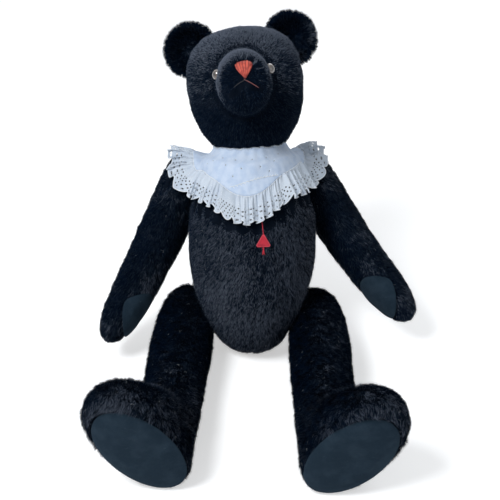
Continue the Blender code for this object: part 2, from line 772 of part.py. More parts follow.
def felt_patch(name, spots, tree, carrier):
    """A thin closed patch over a fan of surface points: one in the middle and rings round it."""
    faces = [(0, 1 + j, 1 + (j + 1) % PAD_SIDES) for j in range(PAD_SIDES)]
    for ring in range((len(spots) - 1) // PAD_SIDES - 1):
        low, high = 1 + ring * PAD_SIDES, 1 + (ring + 1) * PAD_SIDES
        faces += [(low + j, high + j, high + (j + 1) % PAD_SIDES, low + (j + 1) % PAD_SIDES)
                  for j in range(PAD_SIDES)]
    under = lifted_off(*zip(*spots), [0.0] * len(spots), faces, tree)
    over = [point + normal * FELT for point, (_, normal) in zip(under, spots)]
    mesh = bmesh.new()
    layers = [[mesh.verts.new(point) for point in layer] for layer in (under, over)]
    for layer in layers:
        for face in faces:
            mesh.faces.new([layer[i] for i in face])
    rim = [len(spots) - PAD_SIDES + j for j in range(PAD_SIDES)]
    for j, k in zip(rim, rim[1:] + rim[:1]):
        mesh.faces.new((layers[0][j], layers[0][k], layers[1][k], layers[1][j]))
    bmesh.ops.recalc_face_normals(mesh, faces=mesh.faces)
    data = bpy.data.meshes.new(name)
    mesh.to_mesh(data)
    mesh.free()
    data.shade_smooth()
    data.set_sharp_from_angle(angle=math.radians(50))
    data.transform(carrier[1].inverted())
    return add_part(name, data, "felt", carrier[1], carrier)


# The collar

COLLAR_CENTRE = 0.60     # height of the point that the collar is draped round, as a share of the body


def yoke_depth(angle):
    """How deep the yoke is at an angle round the neck, 0 in front and pi at the back."""
    front, back = max(math.cos(angle), 0.0), max(-math.cos(angle), 0.0)
    dip = YOKE_DIP * math.sin(2 * angle) ** 2 if front else 0.0
    return YOKE_SIDE + (YOKE_FRONT - YOKE_SIDE) * front ** 3 + (YOKE_BACK - YOKE_SIDE) * back - dip


def flare(angle):
    """How much the frill stands off the bear at an angle round the neck."""
    behind = min(math.cos(angle), 0.0)
    return FRONT_FLARE + (FRILL_FLARE - FRONT_FLARE) * (math.sin(angle) * (1 + behind)) ** 2


def drape_line(tree, body, angle, distances):
    """Points over the bear at distances from the neckline, walked down one side of the body."""
    centre = body @ Vector((COLLAR_SHIFT, 0, COLLAR_CENTRE * TORSO_LENGTH))
    turned = body.to_3x3()
    flat = turned @ Vector((math.sin(angle), -math.cos(angle), 0))
    spine = turned @ Vector((0, 0, 1))
    walk = []
    for step in range(66):
        rise = math.radians(72 - 1.7 * step)
        way = flat * math.cos(rise) + spine * math.sin(rise)
        hit = tree.ray_cast(centre + way * 0.6, -way)[0]
        walk.append(hit)
    across = [(point - centre).dot(flat) for point in walk]
    first = next(i for i, value in enumerate(across) if value >= COLLAR_NECK)
    share = (COLLAR_NECK - across[first - 1]) / (across[first] - across[first - 1])
    line = [walk[first - 1].lerp(walk[first], share)] + walk[first:]
    found, run, at = [], 0.0, 0
    for wanted in distances:
        while run + (line[at + 1] - line[at]).length < wanted:
            run += (line[at + 1] - line[at]).length
            at += 1
        found.append(line[at].lerp(line[at + 1], (wanted - run) / (line[at + 1] - line[at]).length))
    return found


def smoothed(rows, rounds):
    """Average each point of a grid with its neighbours along the rows."""
    for _ in range(rounds):
        new = []
        for row in rows:
            before, after = [row[0]] + row[:-1], row[1:] + [row[-1]]
            new.append([(a + point * 2 + b) / 4 for a, point, b in zip(before, row, after)])
        rows = new
    return rows


def with_normals(rows, centre):
    """Pair each point of a grid with the normal that faces away from a centre."""
    grid = []
    for i, row in enumerate(rows):
        line = []
        for j, point in enumerate(row):
            down = rows[min(i + 1, len(rows) - 1)][j] - rows[max(i - 1, 0)][j]
            along = row[min(j + 1, len(row) - 1)] - row[max(j - 1, 0)]
            normal = down.cross(along).normalized()
            if normal.dot(point - centre) < 0:
                normal.negate()
            line.append((point, normal))
        grid.append(line)
    return grid


def raised_clear(rows, tree, centre):
    """Move the points of a grid away from a centre until no cell of it cuts a surface."""
    columns = len(rows[0])
    faces = [(i * columns + j, i * columns + j + 1, (i + 1) * columns + j + 1, (i + 1) * columns + j)
             for i in range(len(rows) - 1) for j in range(columns - 1)]
    points = [point for row in rows for point in row]
    ways = [(point - centre).normalized() for point in points]
    heights = [(point - centre).length for point in points]
    flat = lifted_off(points, ways, heights, faces, tree)
    return [flat[i * columns:(i + 1) * columns] for i in range(len(rows))]


def make_collar(body, parts, carrier):
    """A yoke that lies on the shoulders, a gathered frill on its edge and a bound neckline."""
    tree = surface_tree(parts)
    centre = body @ Vector((COLLAR_SHIFT, 0, COLLAR_CENTRE * TORSO_LENGTH))
    slit = math.radians(1.6)
    per_gather = 4
    columns = FRILL_GATHERS * per_gather + 1
    lines = []
    for j in range(columns):
        angle = -math.pi + slit + (2 * math.pi - 2 * slit) * j / (columns - 1)
        yoke_run = [share * yoke_depth(angle) for share in (0.0, 0.34, 0.67, 1.0)]
        fall = FRILL_DEPTH + FRILL_SCALLOP * abs(math.sin(math.pi * j / per_gather))
        frill_run = [COLLAR_GAP + share * fall for share in (0.0, 0.36, 0.72, 1.0)]
        line = drape_line(tree, body, angle, yoke_run + [yoke_run[-1] + run for run in frill_run])
        straight = (line[3] - line[2]).normalized()
        for row, run in enumerate(frill_run, start=4):
            share = flare(angle) * (run - COLLAR_GAP) / fall
            line[row] = line[row].lerp(line[3] + straight * run, share)
        lines.append(line)
    draped = raised_clear(smoothed([list(row) for row in zip(*lines)], 2), tree, centre)

    raised = raised_clear([row[::per_gather] for row in draped[:4]], tree, centre)
    yoke = with_normals(raised, centre)
    laid_shell("collar_yoke", yoke, False, "cotton", carrier,
               lambda i, j: 0.0, lambda i, j: COLLAR_CLOTH)

    seam = [raised[-1][j // per_gather].lerp(raised[-1][min(j // per_gather + 1, FRILL_GATHERS)],
                                             j % per_gather / per_gather) for j in range(columns)]
    hung = [[point + on - under for point, on, under in zip(row, seam, draped[3])] for row in draped[4:]]
    frill = with_normals(raised_clear(hung, tree, centre), centre)
    wave = (0.10, 0.55, 0.90, 1.0)

    def gathered(i, j):
        swell = 0.75 + 0.25 * math.sin(1.7 * j / per_gather)
        return FRILL_WAVE * wave[i] * swell * (1 + math.cos(2 * math.pi * j / per_gather))

    laid_shell("collar_frill", frill, False, "cotton", carrier,
               gathered, lambda i, j: gathered(i, j) + COLLAR_CLOTH)

    edge = [point + normal * (COLLAR_CLOTH + BINDING_RADIUS + 1.5 * CLEAR) for point, normal in yoke[0]]
    wire("neck_binding", edge, BINDING_RADIUS, "cotton", Matrix.Identity(4), carrier)
    hem = body.inverted() @ frill[-1][columns // 2][0]
    return yoke, hem.z


def make_button(yoke, carrier):
    """The plain button that shuts the collar at the back of the neck."""
    (first, first_out), (last, last_out) = yoke[1][0], yoke[1][-1]
    outward = (first_out + last_out).normalized()
    middle = (first + last) / 2
    near = [point for row in yoke[:3] for point, _ in row if (point - middle).length < 0.016]
    rise = max((point - middle).dot(outward) for point in near)
    middle += outward * (rise + COLLAR_CLOTH + 2 * CLEAR)
    place = frame(middle, (1, 0, 0), outward)
    thick = 0.0022
    profile = [
        (0, thick * 0.7), (BUTTON_RADIUS * 0.70, thick * 0.7), (BUTTON_RADIUS * 0.82, thick),
        (BUTTON_RADIUS, thick * 0.8), (BUTTON_RADIUS, thick * 0.2), (BUTTON_RADIUS * 0.9, 0), (0, 0),
    ]
    button = add_part("collar_button", turned_mesh("collar_button", profile, closed=False), "cotton", place, carrier)
    turn(button, 10)


# The tag

def make_tag(body, tree, hem_height, carrier):
    """A small blank pendant on a thread that comes out from under the frill, with a tassel below."""
    turned = body.to_3x3()
    back = turned @ Vector((0, 1, 0))

    def on_belly(across, height, lift):
        start = body @ Vector((across, -0.4, height))
        hit, normal, _, _ = tree.ray_cast(start, back)
        return hit + normal * lift, normal

    radius = TAG_SIDE / math.sqrt(3)
    middle = hem_height - TAG_DROP - radius
    spot, normal = on_belly(TAG_OUT, middle, CLEAR)
    down = turned @ Vector((0, 0, -1))
    place = frame(spot + normal * 0.0006, down, normal)
    data = bpy.data.curves.new("tag_pendant", "CURVE")
    data.dimensions = "2D"
    data.fill_mode = "BOTH"
    data.extrude = TAG_THICK / 2
    spline = data.splines.new("POLY")
    corners = []
    for corner in range(3):
        for nudge in (-7, 7):
            angle = math.radians(180 + 120 * corner + nudge)
            corners.append((radius * math.cos(angle), radius * math.sin(angle)))
    spline.points.add(len(corners) - 1)
    spline.use_cyclic_u = True
    for target, (x, y) in zip(spline.points, corners):
        target.co = (x, y, 0, 1)
    add_part("tag_pendant", data, "red_card", place @ Matrix.Translation((0, 0, TAG_THICK / 2)), carrier)

    thread = []
    top = middle + radius + 0.0008
    for step in range(5):
        point, _ = on_belly(TAG_OUT - 0.0006 * step, top + 0.006 * step, CLEAR + TAG_THREAD)
        thread.append(point)
    wire("tag_thread", thread, TAG_THREAD, "red_card", Matrix.Identity(4), carrier)

    low = middle - radius / 2 - 0.0022
    knot, facing = on_belly(TAG_OUT, low - TASSEL_LENGTH / 2, 0.0034)
    tassel_frame = frame(knot, (1, 0, 0), -down)
    half = TASSEL_LENGTH / 2
    profile = [
        (0, half), (0.0009, half), (0.0014, half * 0.72), (0.0011, half * 0.45), (0.0020, 0), (0.0027, -half), (0, -half),
    ]
    tassel = add_part("tag_tassel", turned_mesh("tag_tassel", profile, closed=False), "red_card", tassel_frame, carrier)
    turn(tassel, 8)


# Everything together

def main():
    clear_scene()
    torso, rounding, body = make_torso_form()
    points = smooth_points(torso, rounding)
    cut(torso, half_space("seat_plane", turn_about("X", 180)))

    neck = neck_land(points, body[1])
    neck_joint = add_empty("neck_joint", neck, body)
    face = face_frame(neck)
    head = make_head(face, neck_joint)
    head_tree = surface_tree([head])
    seat = swollen_cutter(head, "ear_seat", CLEAR)
    joints = [("neck", neck, head, NECK_DISC, neck_joint)]
    for side in (1, -1):
        make_ear(side, face, seat, neck_joint)
        make_eye(side, face, head_tree, head, neck_joint)
        make_mouth(side, face, head_tree, neck_joint)
    make_nose(face, head_tree, neck_joint)

    arms = []
    for name in ("left_arm", "right_arm"):
        joint = JOINTS[name]
        matrix = arm_land(points, body[1], joint)
        carrier = add_empty(f"{name}_joint", matrix, body)
        arm = make_arm(name, joint, matrix, carrier)
        make_pad(name.replace("arm", "paw_pad"), joint, arm, matrix, carrier)
        joints.append((name, matrix, arm, ARM_DISC, carrier))
        arms.append(arm)
    for name in ("left_leg", "right_leg"):
        joint = JOINTS[name]
        matrix = leg_land(points, joint)
        carrier = add_empty(f"{name}_joint", matrix, body)
        leg = make_leg(name, joint, matrix, carrier)
        make_sole(name.replace("leg", "foot_sole"), joint, matrix, carrier)
        joints.append((name, matrix, leg, LEG_DISC, carrier))

    for name, matrix, limb_part, _, _ in joints:
        cut_lands(name, matrix, torso, limb_part)
    yoke, hem_height = make_collar(body[1], [torso] + arms, body)
    make_button(yoke, body)
    make_tag(body[1], surface_tree([torso]), hem_height, body)
    for name, matrix, limb_part, disc_radius, carrier in joints:
        fit_joint(name, matrix, torso, limb_part, disc_radius, body, carrier)


main()
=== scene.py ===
# %% [markdown]
# # A jointed teddy bear in dark plush, with an eyelet collar
#
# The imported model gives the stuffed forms, the disc joints and the cloth of the collar as plain solids.
# This script dresses them: soft skins with seams, a nap of cut blades, felt pads and soles, a collar with
# real holes in it, glass eyes and stitched features. Every length is in metres, in the frame of the packed
# model.

# %% Load the frame
import json
import math

import bmesh
import bpy
import numpy as np
from mathutils import Matrix, Vector, noise
from mathutils.bvhtree import BVHTree

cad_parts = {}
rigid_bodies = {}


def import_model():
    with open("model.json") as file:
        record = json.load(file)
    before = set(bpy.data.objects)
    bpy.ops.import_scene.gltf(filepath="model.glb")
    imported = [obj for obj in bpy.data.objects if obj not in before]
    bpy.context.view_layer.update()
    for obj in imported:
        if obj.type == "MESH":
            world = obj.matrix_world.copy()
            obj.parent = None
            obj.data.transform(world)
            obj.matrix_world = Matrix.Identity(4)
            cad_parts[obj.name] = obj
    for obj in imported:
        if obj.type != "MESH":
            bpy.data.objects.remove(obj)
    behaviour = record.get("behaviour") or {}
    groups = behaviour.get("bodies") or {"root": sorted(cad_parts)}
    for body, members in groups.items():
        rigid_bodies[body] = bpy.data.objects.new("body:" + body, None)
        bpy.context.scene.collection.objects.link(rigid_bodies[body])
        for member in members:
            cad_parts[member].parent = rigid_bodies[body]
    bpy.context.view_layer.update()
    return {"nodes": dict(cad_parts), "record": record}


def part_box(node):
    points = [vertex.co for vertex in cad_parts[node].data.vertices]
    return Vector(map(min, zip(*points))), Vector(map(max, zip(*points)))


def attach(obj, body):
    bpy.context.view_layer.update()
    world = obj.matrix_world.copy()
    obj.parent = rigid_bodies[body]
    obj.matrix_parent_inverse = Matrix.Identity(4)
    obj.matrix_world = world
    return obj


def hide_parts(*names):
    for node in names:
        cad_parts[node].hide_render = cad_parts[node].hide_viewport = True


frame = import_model()
print("nodes:", len(frame["nodes"]))

# %% [markdown]
# ## Where the joints are
#
# The head and limbs turn on discs that are shut inside the stuffing. Each joint gives a point and a
# direction, which also say where the two stuffed forms meet, where no nap grows and which way the body
# leans.

# %% Joint places
JOINTS = {joint["name"]: (Vector(joint["pos_m"]), Vector(joint["axis"]).normalized())
          for joint in frame["record"]["behaviour"]["joints"]}
NECK, SPINE = JOINTS["neck_turn"]
LEFT = Vector((1, 0, 0))
FRONT = SPINE.cross(LEFT).normalized() * -1.0
print("spine leans", round(math.degrees(SPINE.angle(Vector((0, 0, 1)))), 1), "degrees")

# %% [markdown]
# ## Camera, light and floor
#
# The photograph looks down on the bear from in front. A long lens keeps the feet from looming. The light is a
# broad window on the upper left with a softer fill, and the floor is a pale sheet that keeps the shadow.

# %% Camera
AIM = Vector((0.0, 0.075, 0.165))
DISTANCE = 1.5
ELEVATION = math.radians(33)
LENS = 67.18
SHIFT = (-0.004, -0.038)

camera_data = bpy.data.cameras.new("camera")
camera_data.lens = LENS
camera_data.sensor_width = 36.0
camera_data.shift_x, camera_data.shift_y = SHIFT
camera = bpy.data.objects.new("camera", camera_data)
camera.location = AIM + Vector((0, -math.cos(ELEVATION), math.sin(ELEVATION))) * DISTANCE
camera.rotation_euler = (math.pi / 2 - ELEVATION, 0, 0)
bpy.context.scene.collection.objects.link(camera)
bpy.context.scene.camera = camera
bpy.context.scene.view_settings.view_transform = "Standard"


# %% Lamps and world
def area_lamp(name, place, size, watts, colour):
    data = bpy.data.lights.new(name, "AREA")
    data.size = size
    data.energy = watts
    data.color = colour
    lamp = bpy.data.objects.new(name, data)
    lamp.location = place
    lamp.rotation_euler = (Vector(place) - AIM).to_track_quat("Z", "Y").to_euler()
    bpy.context.scene.collection.objects.link(lamp)


area_lamp("window", (-1.1, -0.9, 2.1), 0.8, 42, (0.97, 0.985, 1.0))
area_lamp("fill", (1.6, -1.2, 1.1), 1.6, 5, (0.84, 0.92, 1.0))
area_lamp("back_light", (0.5, 1.7, 1.7), 1.2, 12, (0.92, 0.96, 1.0))


def seen_or_lit(tree, seen, lit):
    """Mix two shaders: the first where the camera, gloss or glass sees it, the second where it gives light."""
    path = tree.nodes.new("ShaderNodeLightPath")
    share = path.outputs["Is Camera Ray"]
    for ray in ("Is Glossy Ray", "Is Transmission Ray"):
        either = tree.nodes.new("ShaderNodeMath")
        either.operation = "MAXIMUM"
        tree.links.new(share, either.inputs[0])
        tree.links.new(path.outputs[ray], either.inputs[1])
        share = either.outputs[0]
    mix = tree.nodes.new("ShaderNodeMixShader")
    tree.links.new(share, mix.inputs[0])
    tree.links.new(lit, mix.inputs[1])
    tree.links.new(seen, mix.inputs[2])
    return mix.outputs[0]


BACKGROUND_SEEN, BACKGROUND_LIT = 1.0, 0.26
world = bpy.data.worlds.new("pale_room")
bpy.context.scene.world = world
world.use_nodes = True
sky = world.node_tree
sky.nodes.clear()
backgrounds = []
for strength in (BACKGROUND_SEEN, BACKGROUND_LIT):
    shade = sky.nodes.new("ShaderNodeBackground")
    shade.inputs["Color"].default_value = (0.98, 0.99, 1.0, 1.0)
    shade.inputs["Strength"].default_value = strength
    backgrounds.append(shade.outputs[0])
world_out = sky.nodes.new("ShaderNodeOutputWorld")
sky.links.new(seen_or_lit(sky, *backgrounds), world_out.inputs["Surface"])


# %% Floor
def make_floor():
    bpy.ops.mesh.primitive_plane_add(size=14)
    floor = bpy.context.active_object
    floor.name = "floor"
    paint = bpy.data.materials.new("pale_floor")
    paint.use_nodes = True
    tree = paint.node_tree
    tree.nodes.clear()
    matt = tree.nodes.new("ShaderNodeBsdfDiffuse")
    matt.inputs["Color"].default_value = (0.86, 0.87, 0.88, 1.0)
    glow = tree.nodes.new("ShaderNodeEmission")
    glow.inputs["Strength"].default_value = 0.52
    both = tree.nodes.new("ShaderNodeAddShader")
    tree.links.new(matt.outputs[0], both.inputs[0])
    tree.links.new(glow.outputs[0], both.inputs[1])
    out = tree.nodes.new("ShaderNodeOutputMaterial")
    tree.links.new(seen_or_lit(tree, both.outputs[0], matt.outputs[0]), out.inputs["Surface"])
    floor.data.materials.append(paint)


make_floor()
print("camera", [round(value, 3) for value in camera.location])

# %% [markdown]
# ## Shared material effects
#
# Cloth is never one flat colour. A shader node group makes each effect once, with named inputs, and every
# material sets its own values: blotches of handling and light, a weave of two thread directions, and fibres.


# %% Node group helpers
class NodeTree:
    """A node tree in the making, with short calls for its nodes and links."""

    def __init__(self, name, tree_kind, inputs, outputs):
        self.tree = bpy.data.node_groups.new(name, tree_kind)
        self.ids = {}
        for label, kind, value in inputs:
            socket = self.tree.interface.new_socket(label, in_out="INPUT", socket_type=kind)
            if value is not None:
                socket.default_value = value
            self.ids[label] = socket.identifier
        for label, kind in outputs:
            self.tree.interface.new_socket(label, in_out="OUTPUT", socket_type=kind)
        self.start = self.tree.nodes.new("NodeGroupInput")
        self.end = self.tree.nodes.new("NodeGroupOutput")

    def node(self, kind, links=(), **settings):
        made = self.tree.nodes.new(kind)
        for key, value in settings.items():
            setattr(made, key, value)
        for socket, source in links:
            if hasattr(source, "is_output"):
                self.tree.links.new(source, made.inputs[socket])
            else:
                made.inputs[socket].default_value = source
        return made

    def math(self, operation, first, second=0.0):
        return self.node("ShaderNodeMath", ((0, first), (1, second)), operation=operation).outputs[0]


class Group(NodeTree):
    """A shader node group."""

    def __init__(self, name, inputs, outputs):
        super().__init__(name, "ShaderNodeTree", inputs, outputs)

    def mix(self, share, first, second):
        made = self.node("ShaderNodeMix", ((0, share), (6, first), (7, second)), data_type="RGBA")
        return made.outputs[2]

    def finish(self, **outputs):
        for label, source in outputs.items():
            self.tree.links.new(source, self.end.inputs[label])
        return self.tree


# %% Blotches, weave and felt fibres
def make_blotches():
    """Two tones of one dye, in soft patches: handling, dust and light have changed the colour a little."""
    g = Group("Blotches", (
        ("Colour", "NodeSocketColor", (0.02, 0.02, 0.03, 1)),
        ("Worn colour", "NodeSocketColor", (0.05, 0.05, 0.06, 1)),
        ("Patch size", "NodeSocketFloat", 0.03), ("Amount", "NodeSocketFloat", 0.5)),
        (("Result", "NodeSocketColor"), ("Mask", "NodeSocketFloat")))
    place = g.node("ShaderNodeTexCoord").outputs["Object"]
    scale = g.math("DIVIDE", 1.0, g.start.outputs["Patch size"])
    wide = g.node("ShaderNodeTexNoise", (("Vector", place), ("Scale", scale), ("Detail", 4.0)))
    band = g.node("ShaderNodeMapRange", (("Value", wide.outputs["Fac"]), ("From Min", 0.42),
                                         ("From Max", 0.66)))
    mask = g.math("MULTIPLY", band.outputs["Result"], g.start.outputs["Amount"])
    result = g.mix(mask, g.start.outputs["Colour"], g.start.outputs["Worn colour"])
    return g.finish(Result=result, Mask=mask)


def make_weave():
    """A plain weave read from a UV map in metres: two sets of threads, one over the other."""
    g = Group("Plain weave", (("Thread", "NodeSocketFloat", 0.0005), ("Slub", "NodeSocketFloat", 0.3)),
              (("Height", "NodeSocketFloat"),))
    place = g.node("ShaderNodeTexCoord").outputs["UV"]
    parts = g.node("ShaderNodeSeparateXYZ", ((0, place),))
    turns = g.math("DIVIDE", math.pi, g.start.outputs["Thread"])
    waves = [g.math("SINE", g.math("MULTIPLY", parts.outputs[axis], turns)) for axis in (0, 1)]
    crossed = g.math("MULTIPLY", waves[0], waves[1])
    uneven = g.node("ShaderNodeTexNoise", (("Vector", place), ("Scale", 900.0), ("Detail", 2.0)))
    rough = g.math("MULTIPLY", uneven.outputs["Fac"], g.start.outputs["Slub"])
    return g.finish(Height=g.math("ADD", crossed, rough))


def make_fibres():
    """Short felted fibres that lie every way, and the paler ones that have worked loose."""
    g = Group("Felted fibres", (("Fibre", "NodeSocketFloat", 0.002),),
              (("Height", "NodeSocketFloat"), ("Loose", "NodeSocketFloat")))
    place = g.node("ShaderNodeTexCoord").outputs["Object"]
    scale = g.math("DIVIDE", 1.0, g.start.outputs["Fibre"])
    warp = g.node("ShaderNodeTexNoise", (("Vector", place), ("Scale", 160.0)))
    bent = g.node("ShaderNodeMix", ((0, 0.012), (4, place), (5, warp.outputs["Color"])), data_type="VECTOR")
    mat = g.node("ShaderNodeTexNoise", (("Vector", bent.outputs[1]), ("Scale", scale), ("Detail", 6.0),
                                        ("Roughness", 0.7), ("Distortion", 1.4)))
    thin = g.node("ShaderNodeMapRange", (("Value", mat.outputs["Fac"]), ("From Min", 0.60),
                                         ("From Max", 0.74)))
    return g.finish(Height=mat.outputs["Fac"], Loose=thin.outputs["Result"])


BLOTCHES, WEAVE, FIBRES = make_blotches(), make_weave(), make_fibres()
print("shared groups:", BLOTCHES.name, WEAVE.name, FIBRES.name)

# %% [markdown]
# ## Materials
#
# The plush is dyed nearly black, with a cold sheen on the ends of the pile. Its ground cloth shows between
# the blades, so it has the blotches and a bump of its own, and the blades are plain. Felt is matt and
# fibrous. The collar is crisp white cotton, given greyer and bluer colours as painted shade.


# %% Material helpers
def new_material(name, colour, roughness, **sockets):
    """A Principled material; extra sockets are given by their names with underscores for spaces."""
    made = bpy.data.materials.new(name)
    made.use_nodes = True
    shader = made.node_tree.nodes["Principled BSDF"]
    shader.inputs["Base Color"].default_value = (*colour, 1.0)
    shader.inputs["Roughness"].default_value = roughness
    for label, value in sockets.items():
        shader.inputs[label.replace("_", " ")].default_value = value
    return made, made.node_tree, shader


def place_group(tree, group, **values):
    node = tree.nodes.new("ShaderNodeGroup")
    node.node_tree = group
    for label, value in values.items():
        node.inputs[label.replace("_", " ")].default_value = value
    return node


def bump_from(tree, shader, height, depth, strength=1.0):
    bump = tree.nodes.new("ShaderNodeBump")
    bump.inputs["Strength"].default_value = strength
    bump.inputs["Distance"].default_value = depth
    tree.links.new(height, bump.inputs["Height"])
    tree.links.new(bump.outputs["Normal"], shader.inputs["Normal"])


def dye(tree, shader, colour, worn, patch, amount):
    """Give a material two tones of one dye in patches, and return the colour's socket."""
    tone = place_group(tree, BLOTCHES, Colour=(*colour, 1), Worn_colour=(*worn, 1), Patch_size=patch,
                       Amount=amount)
    tree.links.new(tone.outputs["Result"], shader.inputs["Base Color"])
    return tone.outputs["Result"]


# %% Plush, felt and cotton
COLD_SHEEN = (0.5, 0.65, 0.95, 1)


def make_fibrous(name, roughness, colour, worn, patch, amount, fibre, depth, strength=1.0, **sockets):
    """Short fibres in two tones of one colour: a cloth's ground, thread or board, or the grain of a metal."""
    made, tree, shader = new_material(name, colour, roughness, **sockets)
    dye(tree, shader, colour, worn, patch, amount)
    fibres = place_group(tree, FIBRES, Fibre=fibre)
    bump_from(tree, shader, fibres.outputs["Height"], depth, strength)
    return made


def make_felt(colour=(0.0140, 0.0270, 0.0420), worn=(0.023, 0.040, 0.059),
              loose_fibres=(0.055, 0.078, 0.105)):
    made, tree, shader = new_material("felt", colour, 1.0, Specular_IOR_Level=0.04, Sheen_Weight=0.06,
                                      Sheen_Roughness=0.6, Sheen_Tint=(0.5, 0.7, 0.95, 1))
    fibres = place_group(tree, FIBRES, Fibre=0.0022)
    loose = tree.nodes.new("ShaderNodeMix")
    loose.data_type = "RGBA"
    tree.links.new(fibres.outputs["Loose"], loose.inputs[0])
    tree.links.new(dye(tree, shader, colour, worn, 0.020, 0.9), loose.inputs[6])
    loose.inputs[7].default_value = (*loose_fibres, 1)
    tree.links.new(loose.outputs[2], shader.inputs["Base Color"])
    bump_from(tree, shader, fibres.outputs["Height"], 0.0006)
    return made


def make_cotton(name, colour, worn, thread, patch=0.03):
    made, tree, shader = new_material(name, colour, 0.85, Specular_IOR_Level=0.25, Sheen_Weight=0.15)
    dye(tree, shader, colour, worn, patch, 0.6)
    weave = place_group(tree, WEAVE, Thread=thread)
    bump_from(tree, shader, weave.outputs["Height"], 0.00012, 0.6)
    return made


GROUND = make_fibrous("plush_ground", 0.95, (0.0015, 0.0036, 0.0080), (0.006, 0.010, 0.018), patch=0.02,
                      amount=0.7, fibre=0.0016, depth=0.0008, Specular_IOR_Level=0.03)
FELT = make_felt()
# White collar cloth, given greyer and bluer colours as painted shade, the yoke's the bluest
COTTON_PAINTED_SHADE = make_cotton("frill_cotton_painted_shade", (0.63, 0.70, 0.79), (0.50, 0.58, 0.69), 0.0006)
LAWN_PAINTED_SHADE = make_cotton("yoke_cotton_painted_shade", (0.60, 0.70, 0.86), (0.43, 0.56, 0.77), 0.0006, 0.011)
HARDBOARD = make_fibrous("hardboard", 0.9, (0.085, 0.048, 0.024), (0.13, 0.080, 0.045), patch=0.008,
                         amount=0.9, fibre=0.0012, depth=0.0002, Specular_IOR_Level=0.2)
STEEL = make_fibrous("steel", 0.38, (0.50, 0.50, 0.49), (0.27, 0.24, 0.21), patch=0.003, amount=0.8,
                     fibre=0.0008, depth=0.00005, Metallic=1.0)
SATIN = make_cotton("collar_embroidery", (0.82, 0.87, 0.93), (0.74, 0.80, 0.88), 0.0004)
PILE = new_material("pile_dark", (0.0014, 0.0064, 0.0178), 0.75, Specular_IOR_Level=0.03)[0]
PILE_TIPS = new_material("pile_tips", (0.0110, 0.0195, 0.0340), 0.6, Specular_IOR_Level=0.08,
                         Sheen_Weight=0.05, Sheen_Tint=COLD_SHEEN)[0]
PILE_PALE = new_material("pile_pale", (0.072, 0.089, 0.124), 0.55, Specular_IOR_Level=0.20, Sheen_Weight=0.10,
                         Sheen_Tint=COLD_SHEEN)[0]
LINT = new_material("lint", (0.50, 0.54, 0.58), 0.9)[0]
print("materials:", len(bpy.data.materials))

# %% [markdown]
# ## The stuffed forms
#
# A stuffed toy is sewn from flat pieces and packed hard, so its cloth is tight and round but never quite
# even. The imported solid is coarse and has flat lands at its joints. It could be subdivided, but its long
# triangles would crease, so voxels give it an even mesh and smoothing pulls the cloth tight over the
# facets. Over each disc it is filled out and held flat. Noise as broad as a handful of stuffing makes it
# lumpy. Seams are drawn in.

# %% Even mesh of a stuffed form
VOXEL, FINE_VOXEL = 0.0034, 0.0026
STUFFING_LUMPS = 0.0011
FIRM_ROUNDS, TIGHT_ROUNDS = 4, 24      # rounds of smoothing, at the joints and elsewhere
DISC_RADIUS = {"neck_turn": 0.031, "left_arm_turn": 0.021, "right_arm_turn": 0.021,
               "left_leg_turn": 0.026, "right_leg_turn": 0.026}
DISC_RIM = 0.0028                      # cloth and stuffing round a disc's edge
DISC_ROOM = 0.0160                     # depth of the room for a disc, its washer and its pin
LAND_HEIGHT = 0.0004                   # from a joint's plane to the cloth on either side
HELD_HEIGHT = 0.010                    # how far from a joint's plane the cloth is held in shape
HOLD_FADE = 0.010                      # over which length that fades out


def link(name, data):
    made = bpy.data.objects.new(name, data)
    bpy.context.scene.collection.objects.link(made)
    return made


def evaluated_mesh(obj):
    bpy.context.view_layer.update()
    graph = bpy.context.evaluated_depsgraph_get()
    return bpy.data.meshes.new_from_object(obj.evaluated_get(graph))


def applied(piece, *materials):
    """Make a piece's modifiers part of its mesh, with these materials only."""
    data = evaluated_mesh(piece)
    piece.modifiers.clear()
    piece.data = data
    data.shade_smooth()
    data.materials.clear()
    for material in materials:
        data.materials.append(material)
    return data


def belongs(piece, body, slot, *nodes):
    """Fix a piece to a body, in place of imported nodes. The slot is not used."""
    if nodes:
        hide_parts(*nodes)
    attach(piece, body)


def merged_copy(node):
    """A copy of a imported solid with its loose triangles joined."""
    data = frame["nodes"][node].data.copy()
    mesh = bmesh.new()
    mesh.from_mesh(data)
    bmesh.ops.remove_doubles(mesh, verts=mesh.verts, dist=0.00002)
    mesh.to_mesh(data)
    mesh.free()
    data.materials.clear()
    return data


def round_axis(points, joint):
    """Offsets of points from a joint, their heights along its axis, and their distances from it."""
    place, axis = (np.array(value) for value in JOINTS[joint])
    offset = points - place
    height = offset @ axis
    return offset, height, np.linalg.norm(offset - np.outer(height, axis), axis=1)


def soft_step(share):
    """A share from 0 to 1, with a soft start and end."""
    share = np.clip(share, 0.0, 1.0)
    return share * share * (3 - 2 * share)


def stuff_over_discs(data, joints):
    """Fill the room round each disc up to the joint's plane, so that the cloth lies over the disc."""
    mesh = bmesh.new()
    mesh.from_mesh(data)
    middle = sum((vertex.co for vertex in mesh.verts), Vector()) / len(mesh.verts)
    for joint in joints:
        place, axis = JOINTS[joint]
        inward = axis if (middle - place).dot(axis) > 0 else -axis
        turn = Vector((0, 0, 1)).rotation_difference(inward).to_matrix().to_4x4()
        centre = place + inward * (LAND_HEIGHT + DISC_ROOM / 2)
        radius = DISC_RADIUS[joint] + DISC_RIM
        bmesh.ops.create_cone(mesh, cap_ends=True, segments=48, radius1=radius, radius2=radius,
                              depth=DISC_ROOM, matrix=Matrix.Translation(centre) @ turn)
    mesh.to_mesh(data)
    mesh.free()


def pulled(rough, rounds):
    """The points of an object's mesh after its remesh and some rounds of smoothing."""
    rough.modifiers["tight"].iterations = rounds
    return evaluated_mesh(rough)


